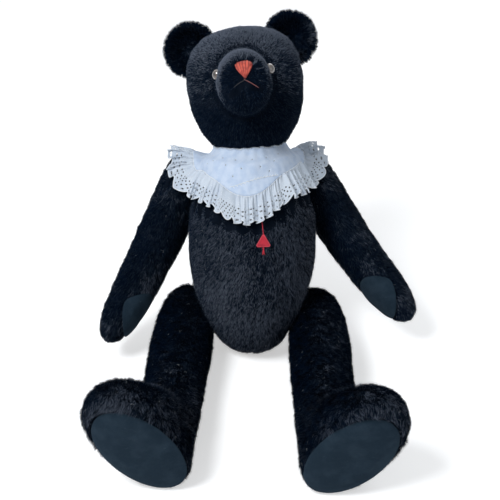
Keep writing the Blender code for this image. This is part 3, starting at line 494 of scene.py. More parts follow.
def even_skin(node, joints, voxel):
    """The cloth of a stuffed part: an even mesh of the solid, pulled smooth, but held flat at its joints."""
    data = merged_copy(node)
    stuff_over_discs(data, joints)
    rough = link(node + "_rough", data)
    remesh = rough.modifiers.new("even", "REMESH")
    remesh.mode = "VOXEL"
    remesh.voxel_size = voxel
    rough.modifiers.new("tight", "SMOOTH").factor = 0.5
    firm, data = pulled(rough, FIRM_ROUNDS), pulled(rough, TIGHT_ROUNDS)
    bpy.data.objects.remove(rough)
    held, points = points_of(firm), points_of(data)
    for joint in joints:
        _, height, radius = round_axis(held, joint)
        away = np.maximum(radius - DISC_RADIUS[joint] - DISC_RIM, np.abs(height) - HELD_HEIGHT)
        hold = soft_step(1.0 - np.maximum(away, 0.0) / HOLD_FADE)[:, None]
        points = points * (1 - hold) + held * hold
    set_points(data, points)
    skin = link(node + "_skin", data)
    data.shade_smooth()
    return skin


def points_of(data):
    flat = np.empty(len(data.vertices) * 3)
    data.vertices.foreach_get("co", flat)
    return flat.reshape(-1, 3)


def normals_of(data):
    flat = np.empty(len(data.vertices) * 3)
    data.vertex_normals.foreach_get("vector", flat)
    return flat.reshape(-1, 3)


def set_points(data, points):
    data.vertices.foreach_set("co", points.reshape(-1))
    data.update()


def set_float(data, name, values):
    layer = data.attributes.new(name, "FLOAT", "POINT")
    layer.data.foreach_set("value", np.asarray(values, dtype=np.float32))


def set_vectors(data, name, values):
    layer = data.attributes.new(name, "FLOAT_VECTOR", "POINT")
    layer.data.foreach_set("vector", np.asarray(values, dtype=np.float32).reshape(-1))


def noise_field(points, size, seed):
    """Smooth noise from -1 to 1 with features of a given size."""
    shift = Vector((seed * 3.1, seed * 5.7, seed * 1.3))
    return np.array([noise.noise(Vector(point) / size + shift) for point in points])


# %% [markdown]
# ## The nap
#
# Plush is a forest of short cut yarns that all lean one way, the way the cloth was cut. Each blade here is
# one thin triangle, placed by a Geometry Nodes tree that reads three attributes from the skin: the way the
# nap lies, how long it is, and how dense. The head has been handled most, so its nap is shortest.


# %% Geometry Nodes helpers
class Tree(NodeTree):
    """A geometry node tree."""

    def __init__(self, name, inputs):
        super().__init__(name, "GeometryNodeTree", (("Geometry", "NodeSocketGeometry", None), *inputs),
                         (("Geometry", "NodeSocketGeometry"),))

    def vector(self, operation, first, second=None, scale=None):
        links = [(0, first)]
        if second is not None:
            links.append((1, second))
        if scale is not None:
            links.append(("Scale", scale))
        return self.node("ShaderNodeVectorMath", links, operation=operation).outputs[0]

    def attribute(self, name, kind):
        read = self.node("GeometryNodeInputNamedAttribute", data_type=kind)
        read.inputs["Name"].default_value = name
        return read.outputs["Attribute"]

    def random(self, low, high, seed, kind="FLOAT"):
        made = self.node("FunctionNodeRandomValue", data_type=kind)
        slots = {"FLOAT": (2, 3), "FLOAT_VECTOR": (0, 1)}[kind]
        made.inputs[slots[0]].default_value = low
        made.inputs[slots[1]].default_value = high
        self.tree.links.new(seed, made.inputs["Seed"])
        return made.outputs[1 if kind == "FLOAT" else 0]

    def spun(self, rotation, low, high, seed):
        """A rotation with a random turn about its own Z."""
        spin = self.node("FunctionNodeAxisAngleToRotation", (
            ("Axis", (0.0, 0.0, 1.0)), ("Angle", self.random(low, high, seed))))
        return self.node("FunctionNodeRotateRotation", (
            ("Rotation", rotation), ("Rotate By", spin.outputs[0])), rotation_space="LOCAL").outputs[0]

    def instances(self, points, instance, **turned):
        """Real meshes in the place of instances on points."""
        links = [("Points", points), ("Instance", instance)] + list(turned.items())
        placed = self.node("GeometryNodeInstanceOnPoints", links)
        return self.node("GeometryNodeRealizeInstances", ((0, placed.outputs[0]),)).outputs[0]

    def painted(self, geometry, material, **chosen):
        links = [("Geometry", geometry), ("Material", material)] + list(chosen.items())
        return self.node("GeometryNodeSetMaterial", links).outputs[0]

    def finish(self, geometry):
        self.tree.links.new(geometry, self.end.inputs[0])
        return self


def grown(skin, tree, name, values):
    """Run a tree on a skin with the values given for its inputs, and return the result as a new piece."""
    carrier = link(name, skin.data.copy())
    grow = carrier.modifiers.new("grow", "NODES")
    grow.node_group = tree.tree
    for label, value in values.items():
        grow[tree.ids[label]] = value
    data = evaluated_mesh(carrier)
    carrier.modifiers.remove(grow)
    old = carrier.data
    carrier.data = data
    bpy.data.meshes.remove(old)
    for layer in [layer.name for layer in data.attributes if layer.name in ("nap", "pile", "tone", "worn")]:
        data.attributes.remove(data.attributes[layer])
    return carrier


# %% Nap tree
# On the head, the wear also holds painted light and shade.
TIPS_FROM, PALE_FROM = 0.90, 1.12      # of a blade's own tone and the wear of its place


def make_nap_tree():
    t = Tree("Nap", (
        ("Density", "NodeSocketFloat", 1000000.0), ("Length", "NodeSocketFloat", 0.006),
        ("Width", "NodeSocketFloat", 0.0009), ("Lean", "NodeSocketFloat", 1.2),
        ("Ruffle", "NodeSocketFloat", 0.6), ("Tuft", "NodeSocketFloat", 0.008), ("Seed", "NodeSocketInt", 1),
        ("Dark", "NodeSocketMaterial", None), ("Tips", "NodeSocketMaterial", None),
        ("Pale", "NodeSocketMaterial", None)))
    inputs = t.start.outputs
    pile = t.attribute("pile", "FLOAT")
    thick = t.math("MULTIPLY", inputs["Density"], t.math("MINIMUM", t.math("MULTIPLY", pile, 3.0), 1.0))
    spots = t.node("GeometryNodeDistributePointsOnFaces", (
        ("Mesh", inputs["Geometry"]), ("Density", thick), ("Seed", inputs["Seed"])))
    normal = spots.outputs["Normal"]
    lying = t.vector("SCALE", t.attribute("nap", "FLOAT_VECTOR"), scale=inputs["Lean"])
    place = t.node("GeometryNodeInputPosition").outputs[0]
    tuft_scale = t.math("DIVIDE", 1.0, inputs["Tuft"])
    tufts = t.node("ShaderNodeTexNoise", (("Vector", place), ("Scale", tuft_scale)))
    sway = t.vector("SUBTRACT", tufts.outputs["Color"], (0.5, 0.5, 0.5))
    sway = t.vector("SCALE", sway, scale=t.math("MULTIPLY", inputs["Ruffle"], 4.0))
    stray = t.vector("SCALE", t.random((-1, -1, -1), (1, 1, 1), inputs["Seed"], "FLOAT_VECTOR"), scale=0.28)
    way = t.vector("ADD", t.vector("ADD", normal, lying), t.vector("ADD", sway, stray))
    aimed = t.node("FunctionNodeAlignRotationToVector", (("Vector", way),), axis="Z")
    faced = t.node("FunctionNodeAlignRotationToVector", (("Rotation", aimed.outputs[0]), ("Vector", normal)),
                   axis="Y", pivot_axis="Z")
    turned = t.spun(faced.outputs[0], -0.9, 0.9, inputs["Seed"])
    blade = t.node("GeometryNodeMeshCone", (("Vertices", 3), ("Side Segments", 1), ("Radius Bottom", 0.5),
                                            ("Radius Top", 0.0), ("Depth", 1.0)), fill_type="NONE")
    index = t.node("GeometryNodeInputIndex").outputs[0]
    not_first = t.node("FunctionNodeCompare", (("A", index), ("B", 0)), data_type="INT",
                       operation="NOT_EQUAL").outputs[0]
    one_face = t.node("GeometryNodeDeleteGeometry", (("Geometry", blade.outputs["Mesh"]),
                                                     ("Selection", not_first)), domain="FACE")
    size = t.random(0.7, 1.2, inputs["Seed"])
    tall = t.math("MULTIPLY", t.math("MULTIPLY", inputs["Length"], pile), size)
    scale = t.node("ShaderNodeCombineXYZ", ((0, inputs["Width"]), (1, inputs["Width"]), (2, tall)))
    tone = t.random(0.0, 1.0, inputs["Seed"])
    toned = t.node("GeometryNodeStoreNamedAttribute", (
        ("Geometry", spots.outputs["Points"]), ("Name", "tone"), ("Value", tone)),
        data_type="FLOAT", domain="POINT")
    real = t.instances(toned.outputs[0], one_face.outputs[0], Rotation=turned, Scale=scale.outputs[0])
    dark = t.painted(real, inputs["Dark"])
    # Tone plus the worn attribute, which on the head also holds painted light and shade, picks the paler blades
    light = t.math("ADD", t.attribute("tone", "FLOAT"), t.attribute("worn", "FLOAT"))
    tips = t.painted(dark, inputs["Tips"], Selection=t.math("GREATER_THAN", light, TIPS_FROM))
    return t.finish(t.painted(tips, inputs["Pale"], Selection=t.math("GREATER_THAN", light, PALE_FROM)))


NAP = make_nap_tree()
print("nap inputs:", ", ".join(NAP.ids))

# %% [markdown]
# ## Which way the nap lies
#
# On a bear the cloth is cut so that the nap runs down the body and limbs, and back from the nose on the head.
# Nothing grows where discs meet, under the felt, under the collar, round the eyes or on the worn nose, so the
# distance to those nodes thins the nap there.

# %% Distances and directions
def node_tree(*nodes):
    """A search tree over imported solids."""
    points, faces = [], []
    for node in nodes:
        data = frame["nodes"][node].data
        first = len(points)
        points += [vertex.co.copy() for vertex in data.vertices]
        faces += [[first + i for i in face.vertices] for face in data.polygons]
    return BVHTree.FromPolygons(points, faces)


def clear_of(points, tree, low, high):
    """0 for points within low of a surface, 1 for those past high, and smooth between them."""
    found = np.array([tree.find_nearest(Vector(point), high * 1.2)[3] or high * 2 for point in points])
    return soft_step((found - low) / (high - low))


def clear_of_joint(points, joint):
    """0 where two stuffed forms meet at a disc joint, and little just round it, where the pile is pressed."""
    _, height, radius = round_axis(points, joint)
    inside = (np.abs(height) < DISC_ROOM) & (radius < LAND_RADIUS[joint])
    near_land = (np.abs(height) < PRESSED_HEIGHT) & (radius < LAND_RADIUS[joint] * PRESSED_REACH)
    return np.where(inside, 0.0, np.where(near_land, PRESSED_PILE, 1.0))


def unit(vectors):
    return vectors / np.maximum(np.linalg.norm(vectors, axis=-1, keepdims=True), 1e-9)


COLLAR_TREE = node_tree("collar_yoke", "collar_frill")
LAND_RADIUS = {"neck_turn": 0.042, "left_arm_turn": 0.028, "right_arm_turn": 0.028,
               "left_leg_turn": 0.034, "right_leg_turn": 0.034}
PRESSED_HEIGHT = 0.003   # from a joint's plane
PRESSED_REACH = 1.6      # of the land's radius
PRESSED_PILE = 0.3       # of the pile's full length

# %% Stuffed parts
SEAM_WIDTH = 0.0030
SEAM_DEPTH = 0.0012
PUCKER = 0.0007
JOINT_FOLDS = 17
LUMPS_AT_JOINTS = 0.15


def belly_seam(points):
    """How far each point is from the centre seam, in front and behind."""
    height = (points - np.array(NECK)) @ np.array(SPINE)
    drift = 0.006 * np.sin((height + 0.33) * 9.0)
    return np.abs(points[:, 0] - drift)


def draw_in(points, normals, distance, width, depth):
    """Pull points in along a seam."""
    return points - normals * (depth * np.exp(-(distance / width) ** 2))[:, None]


def pucker_round_joint(points, normals, joint):
    """Small radial folds where the cloth is drawn to a disc joint."""
    offset, _, radius = round_axis(points, joint)
    axis = JOINTS[joint][1]
    side = np.array(axis.orthogonal().normalized())
    angle = np.arctan2(offset @ np.cross(axis, side), offset @ side)
    reach = np.exp(-np.clip(radius - LAND_RADIUS[joint], 0, 1) / 0.012)
    reach *= np.linalg.norm(offset, axis=1) < 0.09
    wave = np.cos(angle * JOINT_FOLDS + 1.3 * np.sin(angle * 3))
    return points + normals * (PUCKER * wave * reach)[:, None]


def patchy(points):
    """Soft patches where the pile has been rubbed and lies paler."""
    wide, fine = noise_field(points, 0.040, 2), noise_field(points, 0.011, 4)
    return np.clip(0.06 + 0.50 * wide + 0.40 * fine, 0, 0.5)


def dress(node, body, joints, nap_way, pile, voxel=VOXEL, lumps=STUFFING_LUMPS, seams=(), worn=patchy):
    """Make a stuffed part's skin with its seams drawn in, and store what its nap needs."""
    skin = even_skin(node, joints, voxel)
    data = skin.data
    points, normals = points_of(data), normals_of(data)
    calm = np.ones(len(points))
    for joint in joints:
        calm *= np.where(clear_of_joint(points, joint) == 1.0, 1.0, LUMPS_AT_JOINTS)
    swell = noise_field(points, 0.045, len(node)) + noise_field(points, 0.018, len(node) + 5) * 0.4
    points = points + normals * (calm * swell * lumps)[:, None]
    for distance, width, depth in seams:
        points = draw_in(points, normals, distance(points), width, depth)
    for joint in joints:
        points = pucker_round_joint(points, normals, joint)
    set_points(data, points)
    growth = pile(points)
    for joint in joints:
        growth = growth * clear_of_joint(points, joint)
    growth = growth * np.clip((points[:, 2] - 0.001) / 0.006, 0.2, 1.0)
    way = nap_way(points)
    way = unit(way - normals * np.sum(way * normals, axis=1)[:, None])
    set_float(data, "pile", growth)
    # On the head, the worn values also hold painted light and shade
    set_float(data, "worn", worn(points))
    set_vectors(data, "nap", way)
    data.materials.append(GROUND)
    belongs(skin, body, "mohair", node)
    return skin


def grow_nap(skin, body, density, length, width, seed, lean=1.3, ruffle=0.5, tuft=0.008):
    nap = grown(skin, NAP, skin.name.replace("_skin", "_nap"), {
        "Density": density, "Length": length, "Width": width, "Lean": lean, "Ruffle": ruffle, "Tuft": tuft,
        "Seed": seed, "Dark": PILE, "Tips": PILE_TIPS, "Pale": PILE_PALE})
    belongs(nap, body, "mohair")
    print(nap.name, len(nap.data.polygons), "blades")


# %% Body
def torso_nap(points):
    return np.tile(-np.array(SPINE) - 0.35 * np.array(LEFT), (len(points), 1))


def torso_pile(points):
    growth = 0.9 + 0.15 * noise_field(points, 0.05, 3)
    growth *= clear_of(points, COLLAR_TREE, 0.006, 0.012)
    return growth * (1 - 0.5 * np.exp(-(belly_seam(points) / 0.002) ** 2))


def torso_worn(points):
    """Grey in small flecks of wear, and darker in the lowest few centimetres of the torso."""
    low = np.array(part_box("torso")[0])[2]
    flecks = 0.22 * noise_field(points, 0.05, 2) + 0.22 * noise_field(points, 0.0055, 4)
    return np.clip(0.17 + 0.9 * np.clip((points[:, 2] - low) / 0.25, 0, 0.2) + flecks, 0, 0.6)


torso_skin = dress("torso", "torso", list(JOINTS), torso_nap, torso_pile,
                   seams=[(belly_seam, SEAM_WIDTH, SEAM_DEPTH)], worn=torso_worn)
grow_nap(torso_skin, "torso", 1.5e6, 0.0058, 0.0007, 11, lean=1.1, ruffle=0.75, tuft=0.005)
print("torso cloth:", len(torso_skin.data.polygons), "faces")

# %% [markdown]
# ## The head
#
# The muzzle is a tube of cloth sewn into the face, so a crease runs round it, a seam runs down from the
# nose, and the nose stitches pull the plush into short folds. All three are distances from a line, in the
# face's own directions, and each draws the skin in by its own width and depth.

# %% Head
FACE_LIFT = math.radians(4.0)
HEAD_ROLL = math.radians(6.5)
FACE_OUT = (FRONT * math.cos(FACE_LIFT) + SPINE * math.sin(FACE_LIFT)).normalized()
FACE_UP = SPINE * math.cos(FACE_LIFT) - FRONT * math.sin(FACE_LIFT)
FACE_UP = Matrix.Rotation(HEAD_ROLL, 3, FACE_OUT) @ FACE_UP
FACE_SIDE = FACE_UP.cross(FACE_OUT).normalized()


def middle_of(node):
    low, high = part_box(node)
    return (Vector(low) + Vector(high)) / 2


NOSE = middle_of("stitched_nose")
MUZZLE_TREE = node_tree("stitched_nose", "left_eye", "right_eye", "left_mouth_stitch", "right_mouth_stitch")
MUZZLE_HALF = (0.040, 0.047)
MUZZLE_DROP = 0.0145


def face_places(points):
    """Each point's place across, up and out along the face, from the tip of the nose."""
    offset = points - np.array(NOSE)
    return offset @ np.array(FACE_SIDE), offset @ np.array(FACE_UP), offset @ np.array(FACE_OUT)


def muzzle_ring(points):
    """How far out each point is from the muzzle's own middle line, 1 at its rim."""
    across, up, _ = face_places(points)
    return np.hypot(across / MUZZLE_HALF[0], (up + MUZZLE_DROP) / MUZZLE_HALF[1])


def muzzle_crease(points):
    """Distance, in metres, from the fold where the muzzle is sewn into the face."""
    _, _, out = face_places(points)
    return np.where(out < -0.018, np.abs(muzzle_ring(points) - 1.12) * 0.043, 1.0)


def lip_seam(points):
    """Distance from the seam that runs down from the nose over the front of the muzzle."""
    across, up, out = face_places(points)
    return np.where((up < -0.012) & (out > -0.05), np.abs(across - 0.001), 1.0)


def muzzle_puckers(points):
    """Short folds round the nose, where the stitches pull the plush together."""
    across, up, out = face_places(points)
    angle = np.arctan2(across, up + MUZZLE_DROP * 0.4)
    ring = muzzle_ring(points)
    reach = np.exp(-((ring - 0.62) / 0.26) ** 2) * (out > -0.045)
    wave = np.cos(angle * 15 + 1.4 * np.sin(angle * 4)) * (0.6 + 0.4 * np.cos(angle))
    return 0.0030 * (1 - 0.42 * reach * np.clip(wave, 0, 1))


def head_nap(points):
    across, up, out = face_places(points)
    away = np.outer(across, FACE_SIDE) + np.outer(up + 0.01, FACE_UP)
    return unit(away) * 0.9 - np.array(FACE_OUT) * 0.8 - np.array(SPINE) * 0.25


def head_pile(points):
    across, up, out = face_places(points)
    from_nose = np.linalg.norm(points - np.array(NOSE), axis=1)
    growth = 0.50 + 0.35 * np.clip((from_nose - 0.035) / 0.10, 0, 1)
    growth *= 1 - 0.80 * np.exp(-(muzzle_crease(points) / 0.0055) ** 2)
    growth *= 1.0 + 0.15 * noise_field(points, 0.03, 8)
    return growth * clear_of(points, MUZZLE_TREE, 0.0015, 0.007)


def head_wear_and_painted_light(points):
    """Flecks of wear; painted light on the crown and the muzzle's rim, painted shade in the muzzle and under the
    chin.
    """
    across, up, out = face_places(points)
    ring = muzzle_ring(points)
    # Painted highlight: the sheen along the muzzle's rim
    rim = np.exp(-((ring - 0.91) / 0.14) ** 2) * (out > -0.06)
    # Painted light on the top of the head
    high = np.clip((up - 0.005) / 0.065, 0, 1)
    # Painted shade inside the muzzle, deepest in its lower half
    inner = np.clip((0.82 - ring) / 0.2, 0, 1) * (out > -0.06) * np.clip(0.62 - up / 0.03, 0.15, 1)
    # Painted light and shade on the puckers beside the nose
    folds = np.clip(muzzle_puckers(points) - 0.0022, 0, 1) / 0.0008
    drawn = np.exp(-((ring - 0.62) / 0.20) ** 2) * np.clip(across / 0.012, 0, 1)
    drawn = drawn * (up > -0.022) * (out > -0.06)
    shaded = 0.5 * inner * (1 - drawn) - 0.55 * drawn * np.clip(1 - 2.2 * folds, -0.6, 1)
    # Painted shade under the chin
    shaded = shaded + 0.30 * np.clip(-up / 0.05 - 0.3, 0, 1)
    # A base of wear, with the painted light of the crown and the painted highlight of the muzzle's rim added
    rubbed = 0.22 + 0.52 * high + 0.80 * rim * np.clip(0.62 + up / 0.05 - across / 0.12, 0, 1)
    flecks = 0.12 * noise_field(points, 0.02, 9) + 0.14 * noise_field(points, 0.006, 10)
    return np.clip(rubbed + flecks - shaded, 0, 0.95)


def face_folds(points):
    """0 at the bottom of a pucker and wide off it, in metres."""
    return (muzzle_puckers(points) - 0.0017) * 3.0


head_seams = [(muzzle_crease, 0.0046, 0.0050), (lip_seam, 0.0024, 0.0016), (face_folds, 0.0022, 0.0030)]
head_skin = dress("head", "head", ["neck_turn"], head_nap, head_pile, voxel=FINE_VOXEL, lumps=0.0007,
                  seams=head_seams, worn=head_wear_and_painted_light)
grow_nap(head_skin, "head", 1.45e6, 0.0052, 0.0007, 21, lean=1.6, ruffle=0.7, tuft=0.005)

# %% [markdown]
# ## Ears, arms and legs
#
# An ear is two rounds of plush sewn edge to edge, and its pile stands out all round. A limb is a tube whose
# nap runs from its joint to its end. Left and right are cut from the same pattern, so one loop makes both.


# %% Ears
def ear_nap(points):
    middle = points.mean(axis=0)
    return unit(points - middle) + np.array(FACE_UP) * 0.3


def full_pile(points):
    return np.ones(len(points))


for seed, side in enumerate(("left", "right"), 31):
    ear_skin = dress(f"{side}_ear", "head", [], ear_nap, full_pile, voxel=FINE_VOXEL, lumps=0.0004)
    grow_nap(ear_skin, "head", 1.6e6, 0.0085, 0.0009, seed, lean=0.7, ruffle=0.8, tuft=0.006)

# %% Arms and legs
def limb_nap(joint, end):
    """The nap of a limb runs from its joint towards its end, a little twisted."""
    start = np.array(JOINTS[joint][0])
    way = unit(np.array(middle_of(end)) - start)
    return lambda points: np.tile(way + 0.2 * np.array([0.0, 0.0, -1.0]), (len(points), 1))


def limb_worn(joint, base, end):
    """Paler in patches, and more so towards the end of the limb, which has been handled and stood on."""
    start = np.array(JOINTS[joint][0])
    return lambda points: np.clip(
        base + end * np.clip((np.linalg.norm(points - start, axis=1) - 0.17) / 0.08, 0, 1)
        + 0.26 * noise_field(points, 0.035, 2) + 0.18 * noise_field(points, 0.008, 4), 0, 0.5)


def limb_pile(end, seed, length, close, clear):
    """Full pile on a limb, and none under the collar or the felt at its end."""
    tree = node_tree(end)
    return lambda points: ((length + 0.15 * noise_field(points, 0.04, seed))
                           * clear_of(points, COLLAR_TREE, 0.004, 0.009) * clear_of(points, tree, close, clear))


def dress_limb(limb, end, pile, worn):
    joint = f"{limb}_turn"
    return dress(limb, limb, [joint], limb_nap(joint, end), pile, worn=limb_worn(joint, *worn))


for number, side in enumerate(("left", "right"), 1):
    arm, pad = f"{side}_arm", f"{side}_paw_pad"
    arm_skin = dress_limb(arm, pad, limb_pile(pad, 5, 0.95, 0.0015, 0.0045), worn=(0.10, 0.06))
    grow_nap(arm_skin, arm, 1.5e6, 0.0064, 0.00075, 40 + number, ruffle=0.8, tuft=0.009)
    leg, sole = f"{side}_leg", f"{side}_foot_sole"
    leg_skin = dress_limb(leg, sole, limb_pile(sole, 6, 1.0, 0.0012, 0.004), worn=(0.05, 0.21))
    grow_nap(leg_skin, leg, 1.35e6, 0.0074, 0.0008, 50 + number, ruffle=1.0, tuft=0.008)

# %% [markdown]
# ## Felt pads and soles
#
# Felt is cut with scissors and sewn in by hand, so it is smooth and thick with a soft edge. The packed
# patches are subdivided and relaxed, which keeps them closed, and their material has the fibres.

# %% Felt
FELT_LEVELS, FELT_ROUNDS = 3, 3
SEAM_ALLOWANCE = 1.04    # of the patch's own size


def felt_patch(node):
    """A packed patch, rounded by subdivision."""
    piece = link(node + "_cloth", merged_copy(node))
    divide = piece.modifiers.new("divide", "SUBSURF")
    divide.levels = divide.render_levels = FELT_LEVELS
    smooth = piece.modifiers.new("relax", "SMOOTH")
    smooth.iterations = FELT_ROUNDS
    smooth.factor = 0.5
    applied(piece, FELT)
    return piece


def one_side(piece):
    """The area of one side of a thin closed piece."""
    return sum(face.area for face in piece.data.polygons) / 2


def cut_size(piece):
    """The length and width of the cloth that a patch is cut from, along its own long and short directions."""
    offset = points_of(piece.data) - points_of(piece.data).mean(axis=0)
    spans = np.ptp(offset @ np.linalg.svd(offset, full_matrices=False)[2].T, axis=0)
    return tuple(round(float(span) * SEAM_ALLOWANCE, 4) for span in spans[:2])


for side in ("left", "right"):
    for node, body in ((f"{side}_paw_pad", f"{side}_arm"), (f"{side}_foot_sole", f"{side}_leg")):
        patch = felt_patch(node)
        belongs(patch, body, "felt", node)
        cut_size(patch)
        print(patch.name, len(patch.data.polygons), "faces, cut", cut_size(patch))

# %% [markdown]
# ## How the collar drapes
#
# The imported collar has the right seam, hem and stand-off, so the real cloth is laid over it. Rays cast in
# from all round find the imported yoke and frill, row by row, and averaging across the rows takes out the
# packed gathers. Two smooth surfaces are left, with places given as a share round the seam and a length
# down the cloth.

# %% Surfaces of the collar
COLLAR_ORIGIN = NECK - SPINE * 0.1264 - LEFT * 0.004
BACK_SLIT = math.radians(1.6)
WHOLE_FROM = math.radians(3.6)
SHOULDER = 1.25
SEAM_SHIFTS = ((-2.15, 0.35, 0.008), (-1.28, 0.42, -0.019), (-0.62, 0.28, -0.005), (0.60, 0.35, -0.009),
               (1.42, 0.50, -0.024))
ROUND_STEPS = 240
RISE_STEPS = 300


def scan(tree, wanted, steps=RISE_STEPS):
    """The outer side of a packed cloth along one direction round the neck, from the top down."""
    angle = max(min(wanted, math.pi - WHOLE_FROM), WHOLE_FROM - math.pi)
    flat = LEFT * math.sin(angle) + FRONT * math.cos(angle)
    found = []
    for step in range(steps):
        rise = math.radians(82 - 100 * step / steps)
        way = flat * math.cos(rise) + SPINE * math.sin(rise)
        hit = tree.ray_cast(COLLAR_ORIGIN + way * 0.35, -way, 0.35)[0]
        if hit is not None:
            found.append(Matrix.Rotation(wanted - angle, 3, SPINE) @ (hit - COLLAR_ORIGIN) + COLLAR_ORIGIN)
    return np.array(found)


def evenly(line, count):
    """Points at equal steps along a line, and the line's length."""
    steps = np.linalg.norm(np.diff(line, axis=0), axis=1)
    run = np.concatenate(([0.0], np.cumsum(steps)))
    wanted = np.linspace(0.0, run[-1], count)
    return np.stack([np.interp(wanted, run, line[:, axis]) for axis in range(3)], axis=1), run[-1]


def blurred(rows, width):
    """Average an array along its first axis, with its ends held."""
    reach = int(width * 3)
    kernel = np.exp(-0.5 * (np.arange(-reach, reach + 1) / width) ** 2)
    kernel /= kernel.sum()
    flat = rows.reshape(len(rows), -1)
    padded = np.concatenate((2 * flat[:1] - flat[reach:0:-1], flat, 2 * flat[-1:] - flat[-2:-reach - 2:-1]))
    out = np.stack([np.convolve(padded[:, k], kernel, "valid") for k in range(flat.shape[1])], axis=1)
    return out.reshape(rows.shape)


class Drape:
    """The smooth surface of the collar: a share round the neck, and a length down from the neckline."""

    def __init__(self, upper, lower, count, blur):
        trees, lines, seams, lengths = (node_tree(upper), node_tree(lower)), [], [], []
        self.angles = np.linspace(-math.pi + BACK_SLIT, math.pi - BACK_SLIT, ROUND_STEPS)
        for angle in self.angles:
            first, second = (scan(tree, angle) for tree in trees)
            seams.append(evenly(first, 9)[1])
            line, length = evenly(np.concatenate((first, second)), count)
            lines.append(line)
            lengths.append(length)
        self.points = blurred(np.array(lines), blur)
        self.lengths = blurred(np.array(lengths)[:, None], 8)[:, 0]
        self.count = count
        self.seam_depth = blurred(np.array(seams)[:, None], 6)[:, 0]
        for middle, width, amount in SEAM_SHIFTS:
            self.seam_depth += amount * np.exp(-((self.angles - middle) / width) ** 2)
        round_way = np.gradient(self.points, axis=0)
        down_way = np.gradient(self.points, axis=1)
        normals = unit(np.cross(down_way, round_way))
        flip = np.sign(np.sum(normals * (self.points - np.array(COLLAR_ORIGIN)), axis=2, keepdims=True))
        self.normals, self.round_way = normals * flip, unit(round_way)
        seam_at = self.seam_depth / self.lengths * (count - 1)
        low = seam_at.astype(int)
        part = (seam_at - low)[:, None]
        every = np.arange(ROUND_STEPS)
        seam = self.points[every, low] * (1 - part) + self.points[every, low + 1] * part
        run = np.concatenate(([0.0], np.cumsum(np.linalg.norm(np.diff(seam, axis=0), axis=1))))
        self.seam_length, self.run = run[-1], run / run[-1]

    def column(self, share):
        return np.clip(np.interp(share, self.run, np.arange(ROUND_STEPS)), 0, ROUND_STEPS - 1.001)

    def seam(self, share):
        """How far down the seam between yoke and frill is."""
        return np.interp(self.column(share), np.arange(ROUND_STEPS), self.seam_depth)

    def angle(self, share):
        return np.interp(self.column(share), np.arange(ROUND_STEPS), self.angles)

    def at(self, share, depth):
        """Places, normals and sideways directions for arrays of shares round and lengths down."""
        column = self.column(share)
        level = depth / np.interp(column, np.arange(ROUND_STEPS), self.lengths) * (self.count - 1)
        i, k = column.astype(int), np.clip(level, 0, self.count - 1.001).astype(int)
        a, b = (column - i)[:, None], (level - k)[:, None]

        def mixed(field):
            upper = field[i, k] * (1 - a) + field[i + 1, k] * a
            lower = field[i, k + 1] * (1 - a) + field[i + 1, k + 1] * a
            return upper * (1 - b) + lower * b

        return mixed(self.points), unit(mixed(self.normals)), unit(mixed(self.round_way))


COLLAR = Drape("collar_yoke", "collar_frill", 28, 4)
print("collar seam", round(COLLAR.seam_length, 3), "m, depth", round(float(COLLAR.lengths.min()), 4), "to",
      round(float(COLLAR.lengths.max()), 4))

# %% [markdown]
# ## Broderie anglaise
#
# The collar's holes are real: the cloth is a grid of small cells, and each eyelet takes the place of four of
# them. Satin stitches bind every eyelet and the scalloped hem. The frill is longer than its seam, so it falls
# in folds that are tight at the seam and open at the hem.

# %% Cloth with eyelets
def punched(columns, rows, holes, radius):
    """Cells, with a round hole of a radius in cells at each of the chosen corners of the grid."""
    skip, corner, places, faces = set(), {}, [], []

    def at(i, j):
        if (i, j) not in corner:
            corner[i, j] = len(places)
            places.append((i, j))
        return corner[i, j]

    around = [(1, 0), (1, 1), (0, 1), (-1, 1), (-1, 0), (-1, -1), (0, -1), (1, -1)]
    for i, j in holes:
        skip.update(((i, j), (i - 1, j), (i, j - 1), (i - 1, j - 1)))
        rim = []
        for x, y in around:
            share = radius / math.hypot(x, y)
            rim.append(len(places))
            places.append((i + x * share, j + y * share))
        outer = [at(i + x, j + y) for x, y in around]
        for k in range(8):
            faces.append((outer[k], outer[(k + 1) % 8], rim[(k + 1) % 8], rim[k]))
    for i in range(columns):
        for j in range(rows):
            if (i, j) not in skip:
                faces.append((at(i, j), at(i + 1, j), at(i + 1, j + 1), at(i, j + 1)))
    return np.array(places, dtype=float), faces


def cloth_piece(name, places, faces, points, pitch, thickness, material):
    """A closed sheet of a thickness, with a UV map in metres of flat cloth."""
    data = bpy.data.meshes.new(name)
    data.from_pydata([tuple(point) for point in points], [], faces)
    layer = data.uv_layers.new(name="cloth")
    corners = np.empty(len(data.loops), dtype=np.int32)
    data.loops.foreach_get("vertex_index", corners)
    layer.data.foreach_set("uv", (places[corners] * pitch).astype(np.float32).reshape(-1))
    piece = link(name, data)
    thick = piece.modifiers.new("thick", "SOLIDIFY")
    thick.thickness = thickness
    thick.offset = 0.0
    solid = evaluated_mesh(piece)
    piece.modifiers.clear()
    piece.data = solid
    solid.shade_smooth()
    solid.materials.append(material)
    return piece


def outward(piece):
    """Turn the faces of a closed piece out."""
    mesh = bmesh.new()
    mesh.from_mesh(piece.data)
    bmesh.ops.recalc_face_normals(mesh, faces=mesh.faces)
    mesh.to_mesh(piece.data)
    mesh.free()
    return piece


